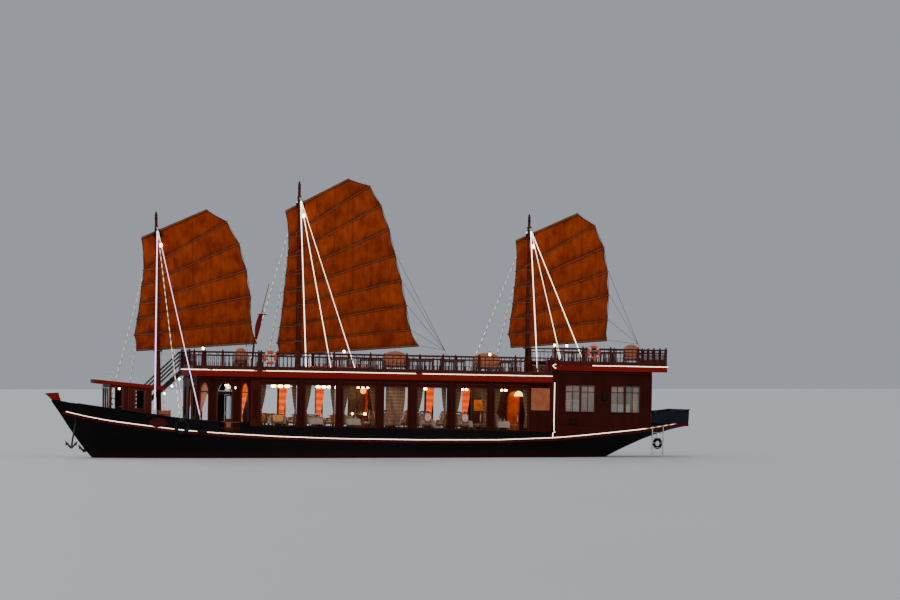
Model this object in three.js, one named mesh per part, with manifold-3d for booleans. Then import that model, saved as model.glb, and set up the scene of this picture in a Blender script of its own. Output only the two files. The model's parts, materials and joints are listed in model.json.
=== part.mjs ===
// A three-masted wooden junk fitted out as a restaurant boat, afloat on her waterline.
// Millimetres. +X is forward, +Y is port, +Z is up; the origin lies on the water, amidships on the centreline.
import * as THREE from "three";
import { mergeVertices } from "three/addons/utils/BufferGeometryUtils.js";
import Module from "manifold-3d";

const wasm = await Module();
wasm.setup();

// Driving dimensions
const gap = 0.3; // between pieces that touch
const trim = 0.0192; // radians down by the stern
const mainDeck = 1160; // top of the saloon and vestibule deck
const deckRise = 0.084; // slope of the foredeck and the wheelhouse, up towards the bow
const foreDeckAft = 9800; // where the foredeck starts to rise
const aftDeck = 1750; // floor of the aft cabin
const sternDeck = 2000;
const saloonSill = 1450; // top of the hull's side under the saloon windows
const upperDeck = 4190;
const deckThickness = 120;
const fasciaHeight = 300;
const aftRoof = 4755;
const aftRoofThickness = 250;
const wallThickness = 80;
const bulwark = 70; // thickness of the planked bulwark
const keelHalf = 80;
const keelBottom = -1500;
const sternEnd = -15850;

// Hull sections from bow to stern: centre bottom, turn of the bilge, side, rubbing rail and top edge
// Columns: x, keelZ, turnY, turnZ, sideY, sideZ, railY, railZ, topY, topZ
const stations = [
  [15950, 2480, 60, 2490, 80, 2510, 90, 2530, 110, 2600],
  [15500, 1860, 60, 1880, 95, 1930, 140, 1990, 360, 2530],
  [15200, 1410, 90, 1450, 220, 1650, 380, 1907, 640, 2470],
  [14520, 470, 120, 560, 560, 1100, 1000, 1745, 1300, 2360],
  [13930, -220, 150, -80, 800, 500, 1420, 1630, 1720, 2280],
  [13200, -850, 220, -650, 1000, 0, 1830, 1505, 2050, 2190],
  [12200, -1250, 450, -900, 1350, -100, 2240, 1385, 2380, 2070],
  [11000, -1400, 850, -1080, 1780, -200, 2560, 1250, 2640, 1915],
  [9500, -1400, 1280, -1150, 2200, -350, 2850, 1100, 2890, 1730],
  [7500, -1400, 1650, -1180, 2600, -500, 3110, 985, 3150, 1650],
  [5000, -1400, 1950, -1200, 2950, -550, 3370, 890, 3380, 1640],
  [2000, -1400, 2100, -1200, 3080, -600, 3430, 838, 3430, 1640],
  [-2000, -1400, 2080, -1190, 3060, -580, 3430, 850, 3430, 1640],
  [-6000, -1380, 1800, -1080, 2850, -480, 3390, 920, 3390, 1700],
  [-8800, -1150, 1350, -800, 2500, -250, 3280, 1068, 3310, 1900],
  [-10500, -560, 900, -350, 2100, 150, 3130, 1235, 3150, 2050],
  [-12300, 336, 750, 450, 1700, 760, 2880, 1440, 2950, 2200],
  [-13800, 1100, 700, 1140, 1500, 1260, 2620, 1625, 2760, 2430],
  [-15200, 1620, 700, 1640, 1400, 1700, 2400, 1870, 2540, 2570],
  [sternEnd, 1780, 700, 1795, 1400, 1830, 2280, 1905, 2420, 2660],
];

// Openings in the saloon's sides, forward edge and aft edge
const saloonWindows = [
  [5970, 4150],
  [3720, 2220],
  [1830, 230],
  [-220, -1400],
  [-1890, -3370],
  [-3830, -5380],
  [-5800, -7470],
];
const saloonWindowZ = [1500, 3520];
const saloonFront = 6490;
const saloonAft = -8690;
const saloonHalf = 3280; // outer face of the saloon's sides

const aftWindows = [
  [-9390, -10110],
  [-10200, -10880],
  [-11750, -12410],
  [-12510, -13220],
];
const aftWindowZ = [2480, 3760];
const aftCabinBack = -13850;
const aftCabinHalf = [3260, 2720]; // outer half breadth at its front and back

const vestibuleFront = 9050;
const vestibuleHalf = [2400, 3160]; // outer half breadth at its front and where it meets the saloon
// Columns: forward edge, aft edge, bottom, spring of the arch, its rise above that
const vestibuleArches = [
  [8880, 8450, 1420, 3080, 520],
  [8060, 7300, mainDeck, 3080, 530],
  [6900, 6540, 1420, 3080, 520],
];
const frontArch = { half: 380, doorHalf: 450, bottom: 1900, spring: 2950, across: 1550, rise: 450 };

const wheelhouse = { front: 13250, back: 11120, half: 1350, roofTopAtFront: 3633, roofFront: 14010 };
const wheelhouseRoof = { back: 10450, half: 1460, thickness: 180, notch: 10810, notchHalf: 190, bow: 380 };

const colours = {
  hullBlack: { color: 0x0d0b0d, roughness: 0.45, metalness: 0 },
  rail: { color: 0x4a0a08, roughness: 0.5, metalness: 0 },
  cabin: { color: 0x3c0f08, roughness: 0.5, metalness: 0 },
  red: { color: 0x8e1108, roughness: 0.4, metalness: 0 },
  mast: { color: 0x3f0a06, roughness: 0.45, metalness: 0 },
  teak: { color: 0x6b3a1e, roughness: 0.6, metalness: 0 },
  sail: { color: 0x87400f, roughness: 0.85, metalness: 0 },
  bamboo: { color: 0x9a6230, roughness: 0.6, metalness: 0 },
  wire: { color: 0xf4ead0, roughness: 0.4, metalness: 0 },
  iron: { color: 0x1c1b1c, roughness: 0.6, metalness: 0.7 },
  bronze: { color: 0x8c6a34, roughness: 0.35, metalness: 0.9 },
  galvanised: { color: 0xb9bcbc, roughness: 0.4, metalness: 0.8 },
  buoy: { color: 0xc8321a, roughness: 0.5, metalness: 0 },
  sign: { color: 0x7a2a10, roughness: 0.5, metalness: 0 },
};

// Solids

// A closed geometry as a solid that faces outwards
function solid(geometry) {
  const bare = geometry.clone();
  bare.deleteAttribute("normal");
  bare.deleteAttribute("uv");
  const merged = mergeVertices(bare, 1e-3);
  const build = (index) =>
    new wasm.Manifold(
      new wasm.Mesh({ numProp: 3, vertProperties: merged.attributes.position.array, triVerts: index }),
    );
  const index = new Uint32Array(merged.index.array);
  const made = build(index);
  if (made.volume() > 0) return made;
  for (let i = 0; i < index.length; i += 3) [index[i + 1], index[i + 2]] = [index[i + 2], index[i + 1]];
  return build(index);
}

function geometryOf(made) {
  const mesh = made.getMesh();
  const geometry = new THREE.BufferGeometry();
  geometry.setAttribute("position", new THREE.BufferAttribute(new Float32Array(mesh.vertProperties), 3));
  geometry.setIndex(new THREE.BufferAttribute(new Uint32Array(mesh.triVerts), 1));
  geometry.computeVertexNormals();
  return geometry;
}

const join = (pieces) => pieces.reduce((whole, piece) => whole.add(piece));
const cut = (whole, tools) => tools.reduce((left, tool) => left.subtract(tool), whole);

function block([x0, x1], [y0, y1], [z0, z1]) {
  const geometry = new THREE.BoxGeometry(Math.abs(x1 - x0), Math.abs(y1 - y0), Math.abs(z1 - z0));
  return solid(geometry.translate((x0 + x1) / 2, (y0 + y1) / 2, (z0 + z1) / 2));
}

const shapeOf = (points) => new THREE.Shape(points.map(([a, b]) => new THREE.Vector2(a, b)));

// A side outline in X and Z, from y0 to y1
function sidePrism(outline, [y0, y1], curveSegments = 6) {
  const shape = Array.isArray(outline) ? shapeOf(outline) : outline;
  const geometry = new THREE.ExtrudeGeometry(shape, { depth: y1 - y0, bevelEnabled: false, curveSegments });
  return solid(geometry.rotateX(Math.PI / 2).translate(0, y1, 0));
}

// A plan outline in X and Y, from z0 to z1, raised by a slope along X from x0
function planPrism(outline, [z0, z1], slope = 0, x0 = 0) {
  const geometry = new THREE.ExtrudeGeometry(shapeOf(outline), { depth: z1 - z0, bevelEnabled: false });
  geometry.translate(0, 0, z0);
  return solid(sheared(geometry, 2, slope, x0));
}

// Moves each point along Y (1) or Z (2) by slope times its distance from x0
function sheared(geometry, along, slope, x0) {
  const place = geometry.attributes.position;
  for (let i = 0; i < place.count; i++)
    place.setComponent(i, along, place.getComponent(i, along) + slope * (place.getX(i) - x0));
  return geometry;
}

const shearedSolid = (made, along, slope, x0) => solid(sheared(geometryOf(made), along, slope, x0));
const mirrored = (made) => solid(geometryOf(made).scale(1, -1, 1));

// A round bar from a to b
function rod(a, b, r, sides = 8, rEnd = r) {
  const from = new THREE.Vector3(...a);
  const to = new THREE.Vector3(...b);
  const along = to.clone().sub(from);
  const geometry = new THREE.CylinderGeometry(rEnd, r, along.length(), sides);
  geometry.applyQuaternion(
    new THREE.Quaternion().setFromUnitVectors(new THREE.Vector3(0, 1, 0), along.clone().normalize()),
  );
  const middle = from.add(to).multiplyScalar(0.5);
  return solid(geometry.translate(middle.x, middle.y, middle.z));
}

// A rectangular bar from a to b, its width level and its height upright
function bar(a, b, width, height) {
  const from = new THREE.Vector3(...a);
  const to = new THREE.Vector3(...b);
  const along = to.clone().sub(from);
  const length = along.length();
  const forward = along.normalize();
  const side = new THREE.Vector3(0, 0, 1).cross(forward).normalize();
  const up = forward.clone().cross(side);
  const turn = new THREE.Matrix4().makeBasis(forward, side, up);
  const middle = from.add(to).multiplyScalar(0.5);
  const geometry = new THREE.BoxGeometry(length, width, height);
  return solid(geometry.applyMatrix4(turn).translate(middle.x, middle.y, middle.z));
}

// A skin over loops with the same number of points, closed by a flat face at each end
function loft(loops) {
  const count = loops[0].length;
  const index = [];
  for (let i = 0; i + 1 < loops.length; i++)
    for (let j = 0; j < count; j++) {
      const a = i * count + j;
      const b = i * count + ((j + 1) % count);
      index.push(a, b, a + count, b, b + count, a + count);
    }
  const cap = THREE.ShapeUtils.triangulateShape(
    loops[0].map(([, y, z]) => new THREE.Vector2(y, z)),
    [],
  );
  const cap2 = THREE.ShapeUtils.triangulateShape(
    loops.at(-1).map(([, y, z]) => new THREE.Vector2(y, z)),
    [],
  );
  const last = (loops.length - 1) * count;
  const front = orientation(loops[0], cap);
  const back = orientation(loops.at(-1), cap2);
  for (const [a, b, c] of cap) index.push(...(front ? [c, b, a] : [a, b, c]));
  for (const [a, b, c] of cap2) index.push(...(back ? [last + a, last + b, last + c] : [last + c, last + b, last + a]));
  const geometry = new THREE.BufferGeometry();
  geometry.setAttribute("position", new THREE.Float32BufferAttribute(loops.flat(2), 3));
  geometry.setIndex(index);
  return solid(geometry);
}

// True where the cap's triangles run the same way round as its loop
function orientation(loop, cap) {
  const area = (points) =>
    points.reduce((sum, [, y, z], i) => {
      const [, y2, z2] = points[(i + 1) % points.length];
      return sum + y * z2 - y2 * z;
    }, 0);
  const [a, b, c] = cap[0];
  return Math.sign(area(loop)) === Math.sign(area([loop[a], loop[b], loop[c]]));
}

// Hull form

// One column of the stations at any x, on a smooth curve through its neighbours
function columnAt(x, column) {
  const last = stations.length - 1;
  let i = stations.findIndex((row) => row[0] <= x);
  i = Math.min(Math.max(i, 1), last);
  const slopeAt = (k) => {
    const a = stations[Math.max(k - 1, 0)];
    const b = stations[Math.min(k + 1, last)];
    return (b[column] - a[column]) / (b[0] - a[0]);
  };
  const [p, q] = [stations[i - 1], stations[i]];
  const h = q[0] - p[0];
  const t = (x - p[0]) / h;
  return (
    (1 + 2 * t) * (1 - t) ** 2 * p[column] +
    t * (1 - t) ** 2 * h * slopeAt(i - 1) +
    t * t * (3 - 2 * t) * q[column] +
    t * t * (t - 1) * h * slopeAt(i)
  );
}

const bottomPoints = 8; // along the round of the bottom on each side

// Port half of a section from the keel to the top edge, as y and z
function halfSection(x) {
  const [, keelZ, turnY, turnZ, sideY, sideZ, railY, railZ, topY, topZ] = stations[0].map((_, c) =>
    c ? columnAt(x, c) : x,
  );
  const round = new THREE.SplineCurve([
    new THREE.Vector2(0, keelZ),
    new THREE.Vector2(turnY, turnZ),
    new THREE.Vector2(sideY, sideZ),
    new THREE.Vector2(railY, railZ),
  ]);
  return [...round.getPoints(bottomPoints).map((p) => [p.x, p.y]), [topY, topZ]];
}

// Half breadth of the hull at x and z, above the turn of the bilge
function halfBreadth(x, z) {
  const half = halfSection(x);
  for (let i = half.length - 1; i > 0; i--) {
    const [[y0, z0], [y1, z1]] = [half[i - 1], half[i]];
    if (z >= z0 || i === 1) return y0 + ((y1 - y0) * (z - z0)) / (z1 - z0);
  }
  return 0;
}

// Sections halfway between the stations too, where the hull bends most
const stationPlaces = stations.flatMap(([x], i) =>
  i + 1 < stations.length && Math.abs(x) > 8000 ? [x, (x + stations[i + 1][0]) / 2] : [x],
);

// One column on the skin itself, which runs straight from section to section
function skinAt(x, column) {
  const i = Math.max(1, stationPlaces.findIndex((place) => place <= x));
  const [a, b] = [stationPlaces[i - 1], stationPlaces[i]];
  const [ca, cb] = [columnAt(a, column), columnAt(b, column)];
  return ca + ((cb - ca) * (x - a)) / (b - a);
}

// The whole outer form, grown sideways so that what lies against it can be cut to fit
function hullForm(grow = 0) {
  return loft(
    stationPlaces.map((x) => {
      const half = halfSection(x);
      const port = half.map(([y, z], i) => [x, i ? y + grow : 0, z]);
      const starboard = half.slice(1).map(([y, z]) => [x, -y - grow, z]);
      return [...port, ...starboard.reverse()];
    }),
  );
}

const foreDeckAt = (x) => mainDeck + deckRise * Math.max(0, x - foreDeckAft);
const highAbove = 3600;

// The space inside the bulwarks above a deck, between two places along the hull
function well(x0, x1, floorAt, inset = bulwark) {
  const places = [x0, ...stationPlaces.filter((x) => x < x0 && x > x1), x1];
  return loft(
    places.map((x) => {
      const floor = floorAt(x);
      const top = columnAt(x, 9);
      const inner = (z) => halfBreadth(x, z) - inset;
      const port = [
        [x, inner(floor), floor],
        [x, inner((floor + top) / 2), (floor + top) / 2],
        [x, inner(top), top],
        [x, inner(top) + 200, highAbove],
      ];
      return [...port, ...port.map(([px, y, z]) => [px, -y, z]).reverse()];
    }),
  );
}

const stockX = -12000; // rudder stock
const stockRadius = 50;
const shaftZ = -800;
const shaftRadius = 32;
const deadwoodAft = -11000;
const boardingGap = [7960, 6950];
const boardingSill = 40; // height of the planking left across the boarding gap
const sternWell = [aftCabinBack - 90, sternEnd + 90];
const sternPlanks = 30; // thickness of the stern deck's planks
const seam = 3; // between those planks and the bulwark

// All that lies at or below the decks, as seen from the side
function belowDecks(lift = 0) {
  const sternBeams = sternDeck - sternPlanks + lift;
  const outline = [
    [16400, foreDeckAt(16400) + lift],
    [foreDeckAft, mainDeck + lift],
    [saloonAft, mainDeck + lift],
    [saloonAft, aftDeck],
    [sternWell[0], aftDeck],
    [sternWell[0], sternBeams],
    [sternEnd - 100, sternBeams],
    [sternEnd - 100, keelBottom - 100],
    [16400, keelBottom - 100],
  ];
  return sidePrism(outline, [-4000, 4000]);
}

function buildHull() {
  const keel = sidePrism(
    [
      [12900, -900],
      [12300, -1330],
      [10900, keelBottom],
      [-12300, keelBottom],
      [-12300, keelBottom + 90],
      [deadwoodAft, keelBottom + 90],
      [deadwoodAft, -150],
      [-10300, 0],
      [-7000, -900],
      [10000, -1100],
    ],
    [-keelHalf, keelHalf],
  );
  const boss = rod([deadwoodAft, 0, shaftZ], [-10300, 0, shaftZ], 130, 16);
  const [planksFront, planksBack] = [sternWell[0], sternWell[1] + seam];
  const planks = well(planksFront, planksBack, () => sternDeck - sternPlanks - 1, bulwark + seam).intersect(
    block([planksFront, planksBack], [-4000, 4000], [0, sternDeck]),
  );
  const bores = [
    rod([stockX, 0, -200], [stockX, 0, 520], stockRadius + 6, 24),
    rod([deadwoodAft - 10, 0, shaftZ], [deadwoodAft + 310, 0, shaftZ], shaftRadius + 0.9, 20),
  ];
  return cut(join([hullForm().intersect(belowDecks()), keel, boss, planks]), bores);
}

// The planking above the decks, both sides and the stern together
function buildTopsides() {
  const wells = [
    well(14900, foreDeckAft - 400, foreDeckAt),
    well(foreDeckAft, 6400, () => mainDeck),
    block([6450, saloonAft], [-3180, 3180], [mainDeck, highAbove]),
    well(...sternWell, () => sternDeck - sternPlanks),
  ];
  const lowered = [
    block([6500, saloonAft], [-4000, 4000], [saloonSill, highAbove]),
    block([saloonAft + 1, sternWell[0]], [-4000, 4000], [aftDeck, highAbove]),
    block(boardingGap, [-4000, 4000], [mainDeck + boardingSill, highAbove]),
  ];
  return cut(hullForm(), [belowDecks(gap), ...wells, ...lowered]);
}

const buildForeBulwark = () =>
  buildTopsides().intersect(block([boardingGap[0] + gap, 16300], [-4000, 4000], [0, 4000]));

// One side's sill across the boarding gap and ledge under the saloon's wall
function buildCoaming(side) {
  const half = [0, side * 4000].sort((a, b) => a - b);
  return buildTopsides().intersect(block([saloonAft + gap, boardingGap[0]], half, [0, 4000]));
}

const buildSternBulwark = () =>
  buildTopsides().intersect(block([-16000, sternWell[0] - gap], [-4000, 4000], [0, 4000]));

const railProud = 60;
const railHeight = 130;

// A rubbing rail along one side (1 port, -1 starboard), following the hull at the rail's own height
function buildRubRail(side) {
  const places = stationPlaces.filter((x) => x < 15450 && x > sternEnd + 10);
  const loops = [15420, ...places, sternEnd + 5].map((x) => {
    const y = columnAt(x, 6);
    const z = columnAt(x, 7);
    return [
      [x, side * (y + railProud), z - railHeight / 2],
      [x, side * (y + railProud), z + railHeight / 2],
      [x, side * (y - 90), z + railHeight / 2],
      [x, side * (y - 90), z - railHeight / 2],
    ];
  });
  return loft(loops).subtract(hullForm(gap + 0.2));
}

// The block on the stem head, seated on the hull's solid end
function buildStemHead() {
  const seat = [15950, 15725, 15520].map((x) => [x, skinAt(x, 9) + gap + 0.2]);
  return sidePrism([[16250, 2860], [15640, 2900], ...seat.reverse()], [-260, 260]);
}

// Deckhouse

// An opening whose head is half an ellipse
function archHole([front, back, bottom, spring, rise], [y0, y1]) {
  const half = (front - back) / 2;
  const shape = new THREE.Shape();
  shape.moveTo(back, bottom);
  shape.lineTo(front, bottom);
  shape.lineTo(front, spring);
  shape.absellipse((front + back) / 2, spring, half, rise, 0, Math.PI, false, 0);
  return sidePrism(shape, [y0, y1]);
}

const underDeck = upperDeck - deckThickness - gap;

function buildSaloonWall() {
  const wall = block(
    [saloonFront, saloonAft + gap],
    [saloonHalf - wallThickness, saloonHalf],
    [saloonSill + gap, underDeck],
  );
  const windows = saloonWindows.map((w) => block(w, [3000, 3500], saloonWindowZ));
  return cut(wall, windows);
}

function buildVestibuleSide() {
  const length = vestibuleFront - saloonFront;
  const slope = (vestibuleHalf[0] - vestibuleHalf[1]) / length;
  const wall = block(
    [vestibuleFront, saloonFront + gap],
    [vestibuleHalf[1] - wallThickness, vestibuleHalf[1]],
    [mainDeck + gap, underDeck],
  );
  const arches = vestibuleArches.map((a) => archHole(a, [2900, 3300]));
  return shearedSolid(cut(wall, arches), 1, slope, saloonFront);
}

function buildVestibuleFront() {
  const half = vestibuleHalf[0] - wallThickness - 20;
  const wall = block(
    [vestibuleFront - wallThickness, vestibuleFront],
    [-half, half],
    [mainDeck + gap, underDeck],
  );
  const { across, spring, rise } = frontArch;
  const lights = [-across, 0, across].map((y) => {
    const wide = y ? frontArch.half : frontArch.doorHalf;
    const bottom = y ? frontArch.bottom : mainDeck;
    const arch = archHole([wide, -wide, bottom, spring, rise], [-9200, -8800]);
    return solid(geometryOf(arch).rotateZ(Math.PI / 2).translate(0, y, 0));
  });
  return cut(wall, lights);
}

function buildForeBulkhead() {
  const wall = block([saloonFront - 90, saloonFront - 10], [-3100, 3100], [mainDeck + gap, underDeck]);
  return wall.subtract(block([6000, 7000], [-900, 900], [mainDeck, 3350]));
}

function buildMiddleBulkhead() {
  const half = aftCabinHalf[0] - wallThickness - 12;
  const wall = block(
    [saloonAft - gap - wallThickness, saloonAft - gap],
    [-half, half],
    [aftDeck + gap, aftRoof - aftRoofThickness - gap],
  );
  return wall.subtract(block([-9000, -8500], [-400, 400], [aftDeck, 3700]));
}

const aftCabinFront = saloonAft - gap;

function buildAftSide() {
  const slope = (aftCabinHalf[0] - aftCabinHalf[1]) / (aftCabinFront - aftCabinBack);
  const wall = block(
    [aftCabinFront, aftCabinBack],
    [aftCabinHalf[0] - wallThickness, aftCabinHalf[0]],
    [aftDeck + gap, aftRoof - aftRoofThickness - gap],
  );
  const windows = aftWindows.map((w) => block(w, [3000, 3500], aftWindowZ));
  return shearedSolid(cut(wall, windows), 1, slope, aftCabinFront);
}

const aftDoor = { y0: -400, y1: 400, bottom: sternDeck + 10, top: 3800 };

function buildAftBack() {
  const half = aftCabinHalf[1] - wallThickness - 12;
  const wall = block(
    [aftCabinBack, aftCabinBack + wallThickness],
    [-half, half],
    [aftDeck + gap, aftRoof - aftRoofThickness - gap],
  );
  return wall.subtract(block([-14000, -13000], [aftDoor.y0, aftDoor.y1], [aftDoor.bottom, aftDoor.top]));
}

// A hinged leaf that runs along +X from its hinge at the origin, its hinge face on Y = 0 and its barrels on -Y
const barrelRadius = 11.7;
const barrelOut = 12;
function doorLeaf(width, thickness, z0, z1) {
  const pieces = [block([6, width], [0, thickness], [z0, z1])];
  for (const share of [0.12, 0.5, 0.88]) {
    const z = z0 + (z1 - z0) * share;
    pieces.push(rod([0, -barrelOut, z - 60], [0, -barrelOut, z + 60], barrelRadius, 12));
    pieces.push(block([0, 60], [-barrelOut, 4], [z - 60, z + 60]));
  }
  return join(pieces);
}

const turned = (made, angle, x, y) => solid(geometryOf(made).rotateZ(angle).translate(x, y, 0));

function buildVestibuleDoor() {
  const slope = (vestibuleHalf[1] - vestibuleHalf[0]) / (vestibuleFront - saloonFront);
  const hinge = vestibuleArches[1][1];
  const inner = vestibuleHalf[1] - wallThickness - slope * (hinge - saloonFront);
  const leaf = doorLeaf(385, 40, mainDeck + 15, 2990);
  return turned(leaf, -Math.atan(slope), hinge, inner);
}

// Upper deck plan, port half from aft to the middle of the front
const upperPlan = [
  [saloonAft + gap, 3450],
  [6200, 3450],
  [7900, 3180],
  [8850, 2800],
  [9250, 2350],
  [9330, 1200],
];

const bothHalves = (points) => [...points, ...points.map(([x, y]) => [x, -y]).reverse()];
const shrunk = (points, by) => points.map(([x, y], i) => [i ? x - by * (x > 8000 ? 1 : 0) : x + by, y - by]);

function buildUpperDeck() {
  const slab = planPrism(bothHalves(upperPlan), [upperDeck - fasciaHeight, upperDeck]);
  const inside = planPrism(bothHalves(shrunk(upperPlan, 60)), [
    upperDeck - fasciaHeight - 50,
    upperDeck - deckThickness,
  ]);
  const aftEdge = block([-8800, -8500], [-3390, 3390], [upperDeck - fasciaHeight - 60, upperDeck - deckThickness]);
  return cut(slab, [inside, aftEdge]);
}

const aftPlan = [
  [-14570, 3000],
  [-8700, 3450],
];

function buildAftRoof() {
  return planPrism(bothHalves(aftPlan), [aftRoof - aftRoofThickness, aftRoof]);
}

// Floor boards of the saloon with the tables fixed to them
function buildSaloonFloor() {
  const boards = block([6380, saloonAft + 20], [-3170, 3170], [mainDeck + gap, mainDeck + 20]);
  const tables = [];
  for (const y of [-2300, 2300])
    for (let x = 5060; x > -8000; x -= 1880) {
      tables.push(block([x - 60, x + 60], [y - 60, y + 60], [mainDeck + 10, mainDeck + 720]));
      tables.push(block([x - 420, x + 420], [y - 420, y + 420], [mainDeck + 710, mainDeck + 750]));
    }
  return join([boards, ...tables]);
}

// Railings

const postWidth = 90;

// Posts at the corners and about every pitch, joined by a top, middle and foot rail
function railing(points, deckZ, height, pitch = 1900) {
  const pieces = [];
  const foot = deckZ + gap;
  points.forEach(([x, y]) => {
    const half = postWidth / 2;
    pieces.push(block([x - half, x + half], [y - half, y + half], [foot, deckZ + height]));
  });
  for (let i = 0; i + 1 < points.length; i++) {
    const [[x0, y0], [x1, y1]] = [points[i], points[i + 1]];
    for (const [z, w, h] of [
      [height - 30, 80, 60],
      [height - 190, 50, 50],
      [100, 50, 60],
    ])
      pieces.push(bar([x0, y0, deckZ + z], [x1, y1, deckZ + z], w, h));
    const bays = Math.round(Math.hypot(x1 - x0, y1 - y0) / pitch);
    for (let k = 1; k < bays; k++) {
      const [x, y] = [x0 + ((x1 - x0) * k) / bays, y0 + ((y1 - y0) * k) / bays];
      pieces.push(block([x - 45, x + 45], [y - 45, y + 45], [foot, deckZ + height - 20]));
    }
  }
  return join(pieces);
}

const upperRailHeight = 940;
const aftRailHeight = 885;

// Stairs and ladder

const stair = { inner: 1490, outer: 2010, topX: 9310.5, pitch: 0.96, rise: 200 };

function buildStairs() {
  const pieces = [];
  const bottomX = 12250;
  const zAt = (x) => upperDeck - 20 - stair.pitch * (x - stair.topX);
  for (const y of [stair.inner, stair.outer - 40]) {
    pieces.push(
      sidePrism(
        [
          [stair.topX, upperDeck - 20],
          [stair.topX, upperDeck - 300],
          [bottomX - 150, foreDeckAt(bottomX - 150) + gap],
          [bottomX + 40, foreDeckAt(bottomX + 40) + gap],
        ],
        [y, y + 40],
      ),
    );
    for (const h of [300, 510, 720, 930])
      pieces.push(bar([stair.topX + 20, y + 20, zAt(stair.topX) + h], [bottomX, y + 20, zAt(bottomX) + h], 30, 40));
    for (const x of [stair.topX + 20, 10350, 11300, bottomX])
      pieces.push(block([x - 20, x + 20], [y, y + 40], [Math.max(zAt(x) - 60, foreDeckAt(x) + 10), zAt(x) + 940]));
  }
  for (let x = stair.topX + 180; x < bottomX - 60; x += stair.rise / stair.pitch)
    pieces.push(block([x - 130, x + 110], [stair.inner + 10, stair.outer - 10], [zAt(x) - 60, zAt(x) - 20]));
  return mirrored(join(pieces));
}

function buildLadder() {
  const [xa, xb] = [-13930, -14480];
  const y = skinAt(xa, 6) + railProud + 36;
  const pieces = [xa, xb].map((x) => rod([x, y, 380], [x, y, 1800], 28));
  for (let z = 480; z < 1700; z += 250) pieces.push(rod([xa, y, z], [xb, y, z], 18));
  for (const x of [xa, xb]) {
    const z = skinAt(x, 7);
    pieces.push(block([x - 25, x + 25], [skinAt(x + 25, 6) + railProud + gap + 0.3, y], [z - 20, z + 20]));
  }
  return join(pieces);
}

// Wheelhouse

const roofUnderAt = (x) =>
  wheelhouse.roofTopAtFront - wheelhouseRoof.thickness - deckRise * (wheelhouse.roofFront - x);

function wheelhouseSideOutline(x0, x1) {
  return [
    [x0, foreDeckAt(x0) + gap],
    [x1, foreDeckAt(x1) + gap],
    [x1, roofUnderAt(x1) - gap],
    [x0, roofUnderAt(x0) - gap],
  ];
}

function buildWheelhouseSide() {
  const { front, back, half } = wheelhouse;
  const wall = sidePrism(wheelhouseSideOutline(back, front), [half - 60, half]);
  return cut(wall, [
    block([12630, 13130], [1000, 1600], [2150, 3230]),
    block([11530, 11930], [1000, 1600], [2230, 3100]),
  ]);
}

function buildWheelhouseFront() {
  const { front, half } = wheelhouse;
  const wall = sidePrism(wheelhouseSideOutline(front - 60, front), [-half + 60 + gap, half - 60 - gap]);
  const panes = [-830, 0, 830].map((y) => block([13000, 13400], [y - 340, y + 340], [2250, 3200]));
  return cut(wall, panes);
}

const wheelhouseDoor = { y0: 320, y1: 1020, top: 3120 };

function buildWheelhouseBack() {
  const { back, half } = wheelhouse;
  const wall = sidePrism(wheelhouseSideOutline(back, back + 60), [-half + 60 + gap, half - 60 - gap]);
  return cut(wall, [
    block([11000, 11300], [wheelhouseDoor.y0, wheelhouseDoor.y1], [1200, wheelhouseDoor.top]),
    block([11000, 11300], [-1000, -300], [2300, 3050]),
  ]);
}

// Its fore edge is bowed: further aft at the sides than at the middle, by the square of the distance out
function buildWheelhouseRoof() {
  const { back, half, thickness, notch, notchHalf, bow } = wheelhouseRoof;
  const front = wheelhouse.roofFront;
  const top = wheelhouse.roofTopAtFront;
  const corner = [
    [notch, notchHalf],
    [back, notchHalf],
    [back, half - 60],
    [back + 60, half],
    [front - bow - 110, half],
    ...[0.96, 0.8, 0.6, 0.4, 0.2].map((share) => [front - bow * share ** 2, half * share]),
  ];
  return planPrism(bothHalves(corner), [top - thickness, top], deckRise, front);
}

// Rudder and propeller

function buildRudder() {
  const blade = sidePrism(
    [
      [stockX + 60, -1330],
      [stockX - 800, -1330],
      [stockX - 880, -700],
      [stockX - 700, -60],
      [stockX - 60, -160],
      [stockX + 60, -330],
    ],
    [-32, 32],
  );
  return blade.add(rod([stockX, 0, keelBottom + 90 + gap], [stockX, 0, 505], stockRadius, 24));
}

function buildPropeller() {
  const hubX = deadwoodAft - 210;
  const pieces = [
    rod([deadwoodAft + 290, 0, shaftZ], [hubX, 0, shaftZ], shaftRadius, 20),
    rod([deadwoodAft - 60, 0, shaftZ], [hubX - 160, 0, shaftZ], 110, 16, 70),
  ];
  const bladeShape = new THREE.Shape();
  bladeShape.absellipse(0, 270, 150, 215, 0, 2 * Math.PI, false, 0);
  for (let i = 0; i < 4; i++) {
    const blade = new THREE.ExtrudeGeometry(bladeShape, { depth: 22, bevelEnabled: false, curveSegments: 5 });
    blade.translate(0, 0, -11).rotateY(1.05).rotateX((i * Math.PI) / 2);
    pieces.push(solid(blade.translate(hubX, 0, shaftZ)));
  }
  return join(pieces);
}

// Masts, stays and sails, each in the frame of its own mast

const spar = { clothY: -260, clothHalf: 6, batten: 25, yard: 60, boom: 50, edge: 16 };
const parrelInner = 165;
const parrelBar = 30;

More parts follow.
